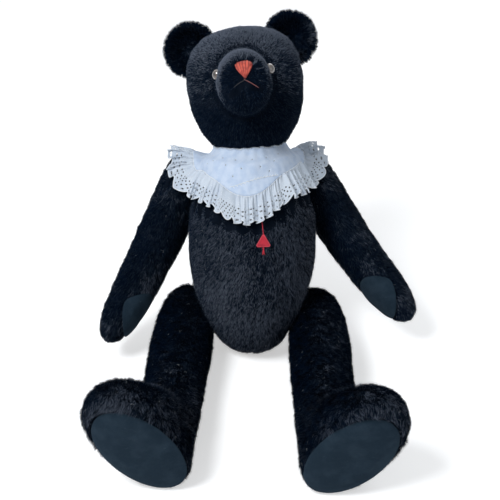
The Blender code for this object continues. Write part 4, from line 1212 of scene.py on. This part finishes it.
def threads(name, lines, radius, material, sides=1):
    """Round threads through lists of points, as one piece."""
    data = bpy.data.curves.new(name, "CURVE")
    data.dimensions = "3D"
    data.bevel_depth = radius
    data.bevel_resolution = sides
    data.use_fill_caps = True
    for line in lines:
        spline = data.splines.new("POLY")
        spline.points.add(len(line) - 1)
        spline.points.foreach_set("co", np.column_stack((line, np.ones(len(line)))).reshape(-1))
    curve = bpy.data.objects.new(name + "_curve", data)
    bpy.context.scene.collection.objects.link(curve)
    mesh = evaluated_mesh(curve)
    bpy.data.objects.remove(curve)
    piece = link(name, mesh)
    mesh.shade_smooth()
    mesh.materials.clear()
    mesh.materials.append(material)
    return piece


def belongs(piece, body, slot, *nodes):
    """Fix a piece to a body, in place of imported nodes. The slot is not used."""
    if nodes:
        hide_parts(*nodes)
    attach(piece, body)
    return piece


def one_side(piece):
    return sum(face.area for face in piece.data.polygons) / 2


# %% Rings of satin stitch round the eyelets
def make_ring_tree():
    """A bound ring on every point, turned to the cloth by the point's own normal."""
    t = Tree("Eyelet rings", (("Radius", "NodeSocketFloat", 0.0014), ("Thread", "NodeSocketFloat", 0.0004),
                              ("Material", "NodeSocketMaterial", None)))
    inputs = t.start.outputs
    round_line = t.node("GeometryNodeCurvePrimitiveCircle", (("Radius", inputs["Radius"]), ("Resolution", 9)))
    profile = t.node("GeometryNodeCurvePrimitiveCircle", (("Radius", inputs["Thread"]), ("Resolution", 4)))
    ring = t.node("GeometryNodeCurveToMesh", ((0, round_line.outputs[0]), (1, profile.outputs[0])))
    cloud = t.node("GeometryNodeMeshToPoints", (("Mesh", inputs["Geometry"]),))
    aimed = t.node("FunctionNodeAlignRotationToVector", (("Vector", t.attribute("facing", "FLOAT_VECTOR")),),
                   axis="Z")
    rings = t.instances(cloud.outputs[0], ring.outputs[0], Rotation=aimed.outputs[0])
    return t.finish(t.painted(rings, inputs["Material"]))


RINGS = make_ring_tree()


def bind_eyelets(name, points, facing, radius, thread):
    data = bpy.data.meshes.new(name + "_points")
    data.from_pydata([tuple(point) for point in points], [], [])
    set_vectors(data, "facing", facing)
    cloud = link(name + "_points", data)
    rings = grown(cloud, RINGS, name, {"Radius": radius, "Thread": thread, "Material": SATIN})
    bpy.data.objects.remove(cloud)
    rings.data.shade_smooth()
    return rings


# %% [markdown]
# ## The frill
#
# A strip of eyelet lawn, longer than the seam it is gathered onto, so it falls in folds that open towards the
# hem. The grid of its cells is its woven pattern: every second row and fourth column of the lower half has a
# hole. Sines of unrelated lengths bend the fold's phase, so that no two folds are alike.

# %% Frill
PITCH = 0.00175                        # one cell of the frill's grid
FRILL_ROWS = 21
EYELET_ROWS = range(11, 20, 2)
GATHERS = 38                           # folds round the whole seam
FULLNESS = 1.6                         # length of the strip, of the seam's
SCALLOP_CELLS = 14
FLARE = {"left": 0.25, "right": 0.50}  # how far the frill stands off over each arm
SCALLOP_DROP = 0.0082
EYELET = 0.00128                       # radius of a hole
CLOTH = 0.0005                         # thickness

frill_columns = int(round(COLLAR.seam_length * FULLNESS / PITCH / SCALLOP_CELLS)) * SCALLOP_CELLS


def frill_at(columns, rows):
    """Where the gathered cloth is, for cells along it and cells down it."""
    share = columns / frill_columns
    down = rows * PITCH
    dip = np.abs(np.sin(math.pi * columns / SCALLOP_CELLS)) - 0.45
    down = down + SCALLOP_DROP * dip * np.clip((rows - FRILL_ROWS + 6) / 6, 0, 1)
    open_share = np.clip(down / (FRILL_ROWS * PITCH), 0, 1.1)
    turn = math.tau
    fold = turn * (GATHERS * share + 0.50 * np.sin(turn * 3.1 * share + 1) + 0.34 * np.sin(turn * 7.7 * share)
                   + 0.20 * np.sin(turn * 13.3 * share + 3))
    fold = fold + 0.9 * open_share * np.sin(turn * 5.3 * share + 2)
    swell = 0.78 + 0.40 * np.sin(turn * 11.3 * share + 2.2)
    wide = 0.0060 * swell * open_share ** 0.5 * (1 - 0.32 * np.clip(open_share, 0, 1))
    tight = 0.0015 * (1 - np.clip(open_share, 0, 1)) ** 1.6
    shoulder = np.exp(-((np.abs(COLLAR.angle(share)) - SHOULDER - 0.1) / 0.5) ** 2)
    start = COLLAR.seam(share) + 0.0010
    point, normal, side = COLLAR.at(share, start + down * (1 + 0.12 * shoulder))
    above, _, _ = COLLAR.at(share, start - 0.004)
    seam_point, _, _ = COLLAR.at(share, start)
    straight = seam_point + unit(seam_point - above) * (down * (1 + 0.12 * shoulder))[:, None]
    flare = np.where(COLLAR.angle(share) > 0, FLARE["left"], FLARE["right"])
    point = point + (straight - point) * (flare * shoulder * np.clip(down / 0.02, 0, 1))[:, None]
    crest = np.cos(fold) + 0.22 * np.cos(2 * fold + 1.1)
    out = wide * (crest + 0.34) + tight * np.cos(3 * fold + 0.8) + 0.0006
    curl = 0.0030 * open_share * np.sin(2 * fold)
    return point + normal * out[:, None] - side * curl[:, None], normal


frill_holes = [(i, j) for j in EYELET_ROWS for i in range(4 + j % 4, frill_columns - 3, 4)]
places, faces = punched(frill_columns, FRILL_ROWS, frill_holes, EYELET / PITCH)
frill_points = frill_at(places[:, 0], places[:, 1])[0]
frill = outward(cloth_piece("frill_cloth", places, faces, frill_points, PITCH, CLOTH, COTTON_PAINTED_SHADE))
belongs(frill, "torso", "white_cotton", "collar_frill")


def facing_at(spots, surface):
    """Places and true normals of the folded cloth at spots of its grid."""
    i, j = np.array(spots, dtype=float).T
    middle = surface(i, j)[0]
    along = surface(i + 0.5, j)[0] - surface(i - 0.5, j)[0]
    down = surface(i, j + 0.5)[0] - surface(i, j - 0.5)[0]
    return middle, unit(np.cross(down, along))


# %% Eyelets, flowers and hem of the frill
frill_rings = bind_eyelets("frill_eyelets", *facing_at(frill_holes, frill_at), EYELET + 0.0002, 0.0003)
belongs(frill_rings, "torso", "white_cotton")
petals = [(i + 1.4 * math.cos(turn), 7.0 + 1.4 * math.sin(turn))
          for i in range(SCALLOP_CELLS // 4, frill_columns - 2, SCALLOP_CELLS // 2)
          for turn in (0.3, 1.56, 2.81, 4.07, 5.33)]
stems = [(i, 9.5 + 0.35 * math.cos(math.pi * i / SCALLOP_CELLS)) for i in range(2, frill_columns - 1, 2)]
flowers = bind_eyelets("frill_flowers", *facing_at(petals + stems, frill_at), 0.0004, 0.0004)
belongs(flowers, "torso", "white_cotton")
steps = np.linspace(0, frill_columns, frill_columns * 2)
hem = threads("frill_hem", [frill_at(steps, np.full(len(steps), FRILL_ROWS + 0.05))[0]], 0.0009, SATIN)
belongs(hem, "torso", "white_cotton")
print("frill:", len(frill.data.polygons), "faces,", len(frill_holes), "eyelets, area",
      round(one_side(frill), 4))

# %% [markdown]
# ## The yoke
#
# The flat part of the collar lies on the shoulders and stands up a little at the neck, as far as the chin
# lets it. It is pulled into small waves where the frill is sewn on. A round piping and a band cover that
# seam.

# %% Yoke
YOKE_PITCH = 0.0030
YOKE_ROWS = 20
YOKE_TUCK = 1.6          # rows that stand above the neckline
HEAD_ROOM = 0.0065       # the most that the neckline stands up
yoke_columns = int(round(COLLAR.seam_length * 0.8 / YOKE_PITCH / 2)) * 2


def room_below_head(count=120):
    """How far the neckline can stand up before it meets the head, for places round the neck."""
    data = head_skin.data
    chin = BVHTree.FromPolygons([vertex.co for vertex in data.vertices],
                                [face.vertices for face in data.polygons])
    share = np.linspace(0, 1, count)
    depth = -YOKE_TUCK / (YOKE_ROWS - YOKE_TUCK) * COLLAR.seam(share)
    edge = COLLAR.at(share, depth)[0]
    room = [chin.ray_cast(Vector(point), SPINE, 0.05)[3] for point in edge]
    return share, np.clip([0.0 if gap is None else gap - 0.0022 for gap in room], 0.0, HEAD_ROOM)


NECK_SHARES, NECK_ROOM = room_below_head()
print("neckline stands up", NECK_ROOM.min().round(4), "to", NECK_ROOM.max().round(4))


def yoke_at(columns, rows):
    share = columns / yoke_columns
    level = (rows - YOKE_TUCK) / (YOKE_ROWS - YOKE_TUCK)
    turn = math.tau
    point, normal, _ = COLLAR.at(share, level * COLLAR.seam(share))
    pulled = 0.0007 * np.clip(level, 0, 1) ** 3 * np.cos(turn * 52 * share + np.sin(turn * 9 * share))
    eased = 0.0008 * (1 - level) ** 2 * np.cos(turn * 21 * share + 2 * np.sin(turn * 4 * share))
    waves = 0.0006 * np.sin(turn * 6 * share + 5 * level)
    upright = np.interp(share, NECK_SHARES, NECK_ROOM) * np.clip((0.30 - level) / (0.30 + 0.09), 0, 1) ** 2
    return point + normal * (pulled + eased + waves + 0.0008)[:, None] + np.outer(upright, SPINE), normal


yoke_holes = [(i, j) for j, first, step in ((5, 4, 9), (9, 8, 9), (13, 4, 18))
              for i in range(first, yoke_columns - 3, step)]
places, faces = punched(yoke_columns, YOKE_ROWS, yoke_holes, 0.0009 / YOKE_PITCH)
yoke_points = yoke_at(places[:, 0], places[:, 1])[0]
yoke = outward(cloth_piece("yoke_cloth", places, faces, yoke_points, YOKE_PITCH, CLOTH, LAWN_PAINTED_SHADE))
belongs(yoke, "torso", "white_cotton", "collar_yoke")
yoke_rings = bind_eyelets("yoke_eyelets", *facing_at(yoke_holes, yoke_at), 0.0011, 0.00035)
belongs(yoke_rings, "torso", "white_cotton")


# %% Piping, seam band, sprig and binding
def seam_line(count=500):
    """The line where the yoke meets the frill, half way between their edges."""
    share = np.linspace(0, 1, count)
    edge = yoke_at(share * yoke_columns, np.full(count, float(YOKE_ROWS)))[0]
    start = frill_at(share * frill_columns, np.zeros(count))[0]
    return edge, start


edge, start = seam_line()
piping = threads("seam_piping", [edge * 0.5 + start * 0.5], 0.0008, SATIN, 2)
belongs(piping, "torso", "white_cotton")
band_points = np.concatenate((edge, edge * 0.5 + start * 0.5, start))
count = len(edge)
band_faces = [(a * count + i, a * count + i + 1, (a + 1) * count + i + 1, (a + 1) * count + i)
              for a in (0, 1) for i in range(count - 1)]
band_places = np.array([(i * 0.5, a * 1.0) for a in range(3) for i in range(count)])
band = outward(cloth_piece("seam_band", band_places, band_faces, band_points, PITCH, CLOTH, COTTON_PAINTED_SHADE))
belongs(band, "torso", "white_cotton")


def sprig_lines():
    """A row of embroidered leaves on the front of the yoke, on a stem that arches a little."""
    lines = []
    middle = yoke_columns * 0.5

    def on_yoke(i, j):
        point, normal = yoke_at(np.array([i]), np.array([j]))
        return (point + normal * 0.0005)[0]

    arch = [(i, 19.0 - 5.4 * math.sin(math.pi * (i - middle + 9) / 25))
            for i in np.arange(middle - 8, middle + 15, 0.4)]
    lines.append(np.array([on_yoke(i, j) for i, j in arch]))
    for step, (i, j) in enumerate(arch[2::2]):
        side = 1 if step % 2 else -1
        leaf = ((0, 0), (0.30, 0.25), (0.7, 0.50))
        lines.append(np.array([on_yoke(i + along, j + side * up) for along, up in leaf]))
    return lines


sprig = threads("yoke_sprig", sprig_lines(), 0.0006, SATIN)
belongs(sprig, "torso", "white_cotton")
share = np.linspace(0, 1, 260)
neck_edge = yoke_at(share * yoke_columns, np.zeros(260))[0] + np.array(SPINE) * 0.0006
binding = threads("neck_tape", [neck_edge], 0.0016, COTTON_PAINTED_SHADE, 3)
belongs(binding, "torso", "white_cotton", "neck_binding")
print("yoke:", len(yoke.data.polygons), "faces, area", round(one_side(yoke), 4))

# %% [markdown]
# ## Glass eyes
#
# A glass eye is a clear dome with its iris painted behind it, on a wire shank that is tied inside the head.
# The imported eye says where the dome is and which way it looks. The dome is one profile turned in 32 steps,
# and an attribute that runs from the middle to the rim tells the material where the pupil, iris and rim
# are.

# %% Eyes
EYE_RADIUS, EYE_DOME, EYE_STEPS = 0.0076, 0.0062, 32


def make_eye_glass():
    made, tree, shader = new_material("eye_glass", (0.08, 0.06, 0.04), 0.07, Coat_Weight=1.0,
                                      Coat_Roughness=0.02, Specular_IOR_Level=0.7)
    ring = tree.nodes.new("ShaderNodeAttribute")
    ring.attribute_name = "from_middle"
    ramp = tree.nodes.new("ShaderNodeValToRGB")
    tones = ramp.color_ramp
    tones.elements[0].position, tones.elements[0].color = 0.34, (0.004, 0.004, 0.005, 1)
    tones.elements[1].position, tones.elements[1].color = 0.44, (0.045, 0.028, 0.018, 1)
    for place, colour in ((0.66, (0.075, 0.052, 0.042, 1)), (0.86, (0.16, 0.14, 0.13, 1)),
                          (0.97, (0.06, 0.05, 0.045, 1))):
        tones.elements.new(place).color = colour
    tree.links.new(ring.outputs["Fac"], ramp.inputs[0])
    tree.links.new(ramp.outputs["Color"], shader.inputs["Base Color"])
    return made


def corners_of(node):
    """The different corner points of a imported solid."""
    return np.unique(np.round(points_of(frame["nodes"][node].data), 5), axis=0)


def eye_place(node):
    """The top of a packed eye's dome, and the way it looks."""
    spots = corners_of(node)
    middle = spots.mean(axis=0)
    away = np.linalg.norm(spots - middle, axis=1)
    tip, end = middle, spots[away > away.max() - 0.0012].mean(axis=0)
    for _ in range(4):
        run = spots @ unit(tip - end)
        tip, end = spots[run > run.max() - 1e-5].mean(axis=0), spots[run < run.min() + 2e-4].mean(axis=0)
    return Vector(tip), Vector(unit(tip - end))


def turned(name, profile, steps, material):
    """A closed lathe form about +Z. The first and last points of its profile are on the axis."""
    mesh = bmesh.new()
    turns = np.linspace(0, math.tau, steps, endpoint=False)
    rings = [[mesh.verts.new((radius * math.cos(turn), radius * math.sin(turn), height)) for turn in turns]
             for radius, height in profile[1:-1]]
    first, last = (mesh.verts.new((0, 0, profile[end][1])) for end in (0, -1))
    for k in range(steps):
        n = (k + 1) % steps
        mesh.faces.new((first, rings[0][n], rings[0][k]))
        mesh.faces.new((last, rings[-1][k], rings[-1][n]))
        for upper, lower in zip(rings, rings[1:]):
            mesh.faces.new((upper[k], upper[n], lower[n], lower[k]))
    bmesh.ops.recalc_face_normals(mesh, faces=mesh.faces)
    data = bpy.data.meshes.new(name)
    mesh.to_mesh(data)
    mesh.free()
    data.shade_smooth()
    data.materials.append(material)
    return link(name, data)


EYE_GLASS = make_eye_glass()
dome = [(EYE_RADIUS * math.sin(turn), EYE_DOME * (math.cos(turn) - 1))
        for turn in np.linspace(0, math.pi / 2, 11)]
eye_back = [(EYE_RADIUS * 0.9, -EYE_DOME - 0.0008), (0.0012, -EYE_DOME - 0.001), (0.0012, -0.0152), (0, -0.0152)]
for side in ("left", "right"):
    tip, way = eye_place(f"{side}_eye")
    eye = turned(f"{side}_eye_glass", dome + eye_back, EYE_STEPS, EYE_GLASS)
    places = points_of(eye.data)
    share = np.hypot(places[:, 0], places[:, 1]) / EYE_RADIUS
    set_float(eye.data, "from_middle", np.where(places[:, 2] < -EYE_DOME - 0.0001, 1.0, share))
    eye.data.transform(Matrix.Translation(tip) @ way.to_track_quat("Z", "Y").to_matrix().to_4x4())
    belongs(eye, "head", "eye_glass", f"{side}_eye")
    print(eye.name, "looks", [round(value, 2) for value in way])

# %% [markdown]
# ## Stitched features
#
# The nose is worked in satin stitch: long stitches laid side by side, which fan out from its tip and are
# padded in the middle. Each stitch here is a real thread that dives into the plush at both ends, over a
# thin padded bed. Of the mouth, one faded thread is left; the other's crease is a dark thread, painted shade.

# %% Stitches
NOSE_ASIDE = 0.0031
NOSE_HALF = 0.0114
NOSE_STITCHES = 17


def make_floss(name, colour, worn, patch=0.006):
    """Loosely twisted embroidery thread, faded in patches."""
    return make_fibrous(name, 0.5, colour, worn, patch, amount=0.9, fibre=0.0004, depth=0.0002, strength=0.7,
                        Specular_IOR_Level=0.35, Sheen_Weight=0.15)


CORAL = make_floss("coral_floss", (0.66, 0.115, 0.072), (0.36, 0.040, 0.030))
DEEP_CORAL = make_floss("coral_floss_deep", (0.33, 0.038, 0.028), (0.20, 0.020, 0.018))
FADED = make_floss("faded_floss", (0.30, 0.10, 0.095), (0.05, 0.025, 0.035))
# A near-black thread for the empty crease of the mouth: painted shade
MOUTH_CREASE_SHADE = make_floss("mouth_crease_painted_shade", (0.012, 0.010, 0.016), (0.004, 0.006, 0.012))
FACE_SKIN = BVHTree.FromPolygons([vertex.co for vertex in head_skin.data.vertices],
                                 [face.vertices for face in head_skin.data.polygons])


def on_face(across, up, lift=0.0):
    """A point of the face in front of the nose's own grid, lifted off the cloth."""
    start = NOSE + FACE_SIDE * across + FACE_UP * up + FACE_OUT * 0.05
    hit = FACE_SKIN.ray_cast(start, -FACE_OUT, 0.15)[0]
    return np.array(hit + FACE_OUT * lift)


def nose_spot(s, t, lift):
    """A place on the nose: s from side to side, t from its top edge down to its tip."""
    top = 0.0116 - 0.0034 * abs(s) ** 3.6
    bottom = -0.0112 + 0.0030 * s * s
    narrow = 1 - 0.80 * max(t, 0.0) ** 1.7
    padded = lift + 0.0022 * (1 - s * s) ** 0.5 * math.sin(math.pi * min(max(t, 0.02), 0.98)) ** 0.5
    return on_face(NOSE_ASIDE + s * NOSE_HALF * narrow, top + (bottom - top) * t, padded)


across_steps, down_steps = np.linspace(-0.97, 0.97, 15), np.linspace(0.02, 0.98, 10)
bed_points = np.array([nose_spot(s, t, 0.0003) for s in across_steps for t in down_steps])
bed_faces = [(i * 10 + j, i * 10 + j + 1, (i + 1) * 10 + j + 1, (i + 1) * 10 + j)
             for i in range(14) for j in range(9)]
bed_places = np.array([(i, j) for i in range(15) for j in range(10)], dtype=float)
nose_bed = outward(cloth_piece("nose_bed", bed_places, bed_faces, bed_points, 0.0015, 0.0012, DEEP_CORAL))
belongs(nose_bed, "head", "coral_thread")
unevenness = np.random.default_rng(5).normal(0, 1, (NOSE_STITCHES, 3))
stitches = []
for s, (slip, start, end) in zip(np.linspace(-1, 1, NOSE_STITCHES), unevenness):
    run = np.linspace(-0.02 + 0.012 * start, 1.01 + 0.012 * end, 11)
    line = [nose_spot(np.clip(s + 0.02 * slip * math.sin(math.pi * k / 10), -1, 1), t,
                      0.0009 if 0 < k < 10 else -0.0012) for k, t in enumerate(run)]
    stitches.append(np.array(line))
nose = threads("nose_stitches", [line for k, line in enumerate(stitches) if k % 3 != 1], 0.00078, CORAL, 2)
belongs(nose, "head", "coral_thread", "stitched_nose")
deep = threads("nose_stitches_deep", stitches[1::3], 0.00074, DEEP_CORAL, 2)
belongs(deep, "head", "coral_thread")
mouth = {
    "left": (FADED, [(0.0010, -0.0118, -0.001), (0.0023, -0.0137, 0.0012), (0.0065, -0.0161, 0.0011),
                     (0.0117, -0.0197, 0.0010), (0.0157, -0.0228, 0.0006), (0.0190, -0.0255, 0.0002),
                     (0.0215, -0.0279, -0.0012)]),
    # This side's thread is the painted shade of the crease
    "right": (MOUTH_CREASE_SHADE, [(0.0020, -0.0120, -0.001), (0.0004, -0.0145, 0.0006), (-0.0040, -0.0162, 0.0006),
                     (-0.0080, -0.0183, 0.0005), (-0.0130, -0.0215, 0.0004), (-0.0172, -0.0247, -0.001)])}
for side, (floss, route) in mouth.items():
    line = np.array([on_face(*place) for place in route])
    thread = threads(f"{side}_mouth_thread", [evenly(line, 24)[0]], 0.00045, floss, 2)
    belongs(thread, "head", "coral_thread", f"{side}_mouth_stitch")
print("nose:", NOSE_STITCHES, "stitches,", len(nose.data.polygons), "faces")

# %% [markdown]
# ## Tag, tassel and button
#
# The tag is a small blank triangle of stiff red cloth with an overcast edge, hung from the hem on a thread,
# with a tassel of loose strands. The collar closes behind the neck with one button. Both are small, but a
# bevel, a thread round the edge and separate strands are what makes them read as sewn things.

# %% Tag and tassel
TAG_RAISED = 0.004
RED = make_floss("red_card", (0.66, 0.028, 0.055), (0.50, 0.02, 0.045), 0.008)
RED_EDGE = make_floss("red_edge", (0.74, 0.09, 0.12), (0.56, 0.03, 0.06), 0.004)


def flat_plate(node, toward):
    """The middle of a thin packed plate, the way its front looks, and the corners of its front, in order."""
    spots = corners_of(node)
    middle = spots.mean(axis=0)
    axes = np.linalg.svd(spots - middle)[2]
    normal = axes[2] * np.sign(axes[2] @ np.array(toward))
    front = spots[(spots - middle) @ normal > 0]
    offset = front - front.mean(axis=0)
    return middle, normal, front[np.argsort(np.arctan2(offset @ axes[0], offset @ axes[1]))]


tag = link("tag_plate", merged_copy("tag_pendant"))
ease = tag.modifiers.new("ease", "BEVEL")
ease.width = 0.00055
ease.segments = 3
tag_data = applied(tag, RED)
raised = np.array(SPINE) * TAG_RAISED
set_points(tag_data, points_of(tag_data) + raised)
belongs(tag, "torso", "red_card", "tag_pendant")
_, tag_out, tag_corners = flat_plate("tag_pendant", FRONT)
front_middle = tag_corners.mean(axis=0)
edge_line = front_middle + (tag_corners - front_middle) * 0.93 + raised
edge_line, edge_length = evenly(np.concatenate((edge_line, edge_line[:1])), 90)
overcast = np.array([point + tag_out * (0.0002 if step % 2 else -0.0002)
                     for step, point in enumerate(edge_line)])
tag_edge = threads("tag_edge", [overcast], 0.00055, RED_EDGE, 2)
belongs(tag_edge, "torso", "red_card")

# %% Thread and tassel of the tag
thread_ends = corners_of("tag_thread")
top = thread_ends[thread_ends[:, 2] > thread_ends[:, 2].max() - 0.0006].mean(axis=0)
apex = tag_corners[np.argsort(-tag_corners[:, 2])[:2]].mean(axis=0) + raised - tag_out * 0.0006
hang = [top + (apex - top) * t + tag_out * 0.0012 * math.sin(math.pi * t) for t in np.linspace(0, 1, 12)]
tag_line = threads("tag_line", [np.array(hang)], 0.00055, RED, 2)
belongs(tag_line, "torso", "red_thread", "tag_thread")

low = tag_corners[tag_corners[:, 2] < front_middle[2]].mean(axis=0) + raised - tag_out * 0.0008
fall = unit(low - apex)
aside = np.cross(fall, tag_out)
spread = np.random.default_rng(9).uniform(-1, 1, (14, 3))
strands = []
for wide, deep, long in spread:
    length = 0.0118 + 0.0012 * long
    strands.append(np.array([
        low + fall * length * t + aside * (0.0003 * wide + 0.0017 * wide * t * t)
        + tag_out * 0.0010 * (deep * t + 0.6) for t in np.linspace(-0.05, 1, 9)]))
wraps = np.array([low + fall * (0.0022 + 0.0004 * turn / 6.28) + aside * 0.0009 * math.cos(turn)
                  + tag_out * (0.0006 + 0.0009 * math.sin(turn)) for turn in np.linspace(0, 6.28 * 4, 40)])
tassel = threads("tassel_strands", strands + [wraps], 0.00036, RED)
belongs(tassel, "torso", "red_thread", "tag_tassel")
print("tag:", round(edge_length, 4), "m round its edge,", len(strands), "strands")

# %% Button
PEARL = new_material("button_pearl", (0.78, 0.79, 0.78), 0.28, Coat_Weight=0.5, Coat_Roughness=0.1)[0]
button_middle, button_out, _ = flat_plate("collar_button", (0, 1, 0))
button_profile = [(0, 0.0002), (0.0038, 0.0002), (0.0050, 0.0011), (0.0061, 0.0010), (0.0065, 0.0004),
                  (0.0065, -0.0006), (0.0058, -0.0011), (0, -0.0011)]
button = turned("pearl_button", button_profile, 28, PEARL)
face_button = Vector(button_out).to_track_quat("Z", "Y").to_matrix().to_4x4()
face_button = Matrix.Translation(Vector(button_middle)) @ face_button
button.data.transform(face_button)
belongs(button, "torso", "white_cotton", "collar_button")
stitch = ((-1, -0.0002), (-0.9, 0.0007), (0, 0.0010), (0.9, 0.0007), (1, -0.0002))
cross = [np.array([face_button @ Vector((x * t, y * t, height)) for t, height in stitch])
         for x, y in ((0.0016, 0.0016), (0.0016, -0.0016))]
button_thread = threads("button_thread", cross, 0.0003, SATIN)
belongs(button_thread, "torso", "white_cotton")

# %% [markdown]
# ## Lint
#
# Dark plush picks up pale fibres. Each one is a short bent line with a thin round section, laid on the skin
# by a Geometry Nodes tree at random places and turns, just proud of the nap.

# %% Lint tree
def make_lint_tree():
    t = Tree("Lint", (("Density", "NodeSocketFloat", 1500.0), ("Length", "NodeSocketFloat", 0.006),
                      ("Proud", "NodeSocketFloat", 0.003), ("Seed", "NodeSocketInt", 3),
                      ("Material", "NodeSocketMaterial", None)))
    inputs = t.start.outputs
    spots = t.node("GeometryNodeDistributePointsOnFaces", (
        ("Mesh", inputs["Geometry"]), ("Density", inputs["Density"]), ("Seed", inputs["Seed"])))
    lifted = t.node("GeometryNodeSetPosition", (
        ("Geometry", spots.outputs["Points"]),
        ("Offset", t.vector("SCALE", spots.outputs["Normal"],
                            scale=t.math("MULTIPLY", inputs["Proud"], t.attribute("pile", "FLOAT"))))))
    bend = t.node("GeometryNodeCurveQuadraticBezier", (
        ("Resolution", 5), ("Start", (-0.5, 0.0, 0.0)), ("Middle", (0.0, 0.45, 0.12)),
        ("End", (0.5, 0.05, 0.0))))
    profile = t.node("GeometryNodeCurvePrimitiveCircle", (("Radius", 0.022), ("Resolution", 3)))
    fibre = t.node("GeometryNodeCurveToMesh", (
        (0, bend.outputs[0]), (1, profile.outputs[0]), ("Fill Caps", True)))
    turned_round = t.spun(spots.outputs["Rotation"], 0.0, 6.28, inputs["Seed"])
    size = t.math("MULTIPLY", inputs["Length"], t.random(0.3, 1.1, inputs["Seed"]))
    real = t.instances(lifted.outputs[0], fibre.outputs[0], Rotation=turned_round, Scale=size)
    return t.finish(t.painted(real, inputs["Material"]))


LINT_TREE = make_lint_tree()
for seed, (body, density) in enumerate((("torso", 900.0), ("left_arm", 450.0), ("right_arm", 450.0),
                                        ("left_leg", 1500.0), ("right_leg", 1500.0))):
    lint = grown(bpy.data.objects[f"{body}_skin"], LINT_TREE, f"{body}_lint", {
        "Density": density, "Length": 0.0042, "Proud": 0.0034, "Seed": seed + 60, "Material": LINT})
    belongs(lint, body, "mohair")
    print(lint.name, len(lint.data.polygons), "faces")

# %% [markdown]
# ## Discs, washers and pins
#
# These stay as they were packed, shut in the stuffing, so only their materials are given here.

# %% Hardware
hardware = {"_disc": HARDBOARD, "_washer": STEEL, "_cotter_pin": STEEL}
dressed = 0
for name, node in frame["nodes"].items():
    for ending, material in hardware.items():
        if name.endswith(ending):
            for place in node.material_slots:
                place.material = material
            dressed += 1
print("packed pieces given a material:", dressed)
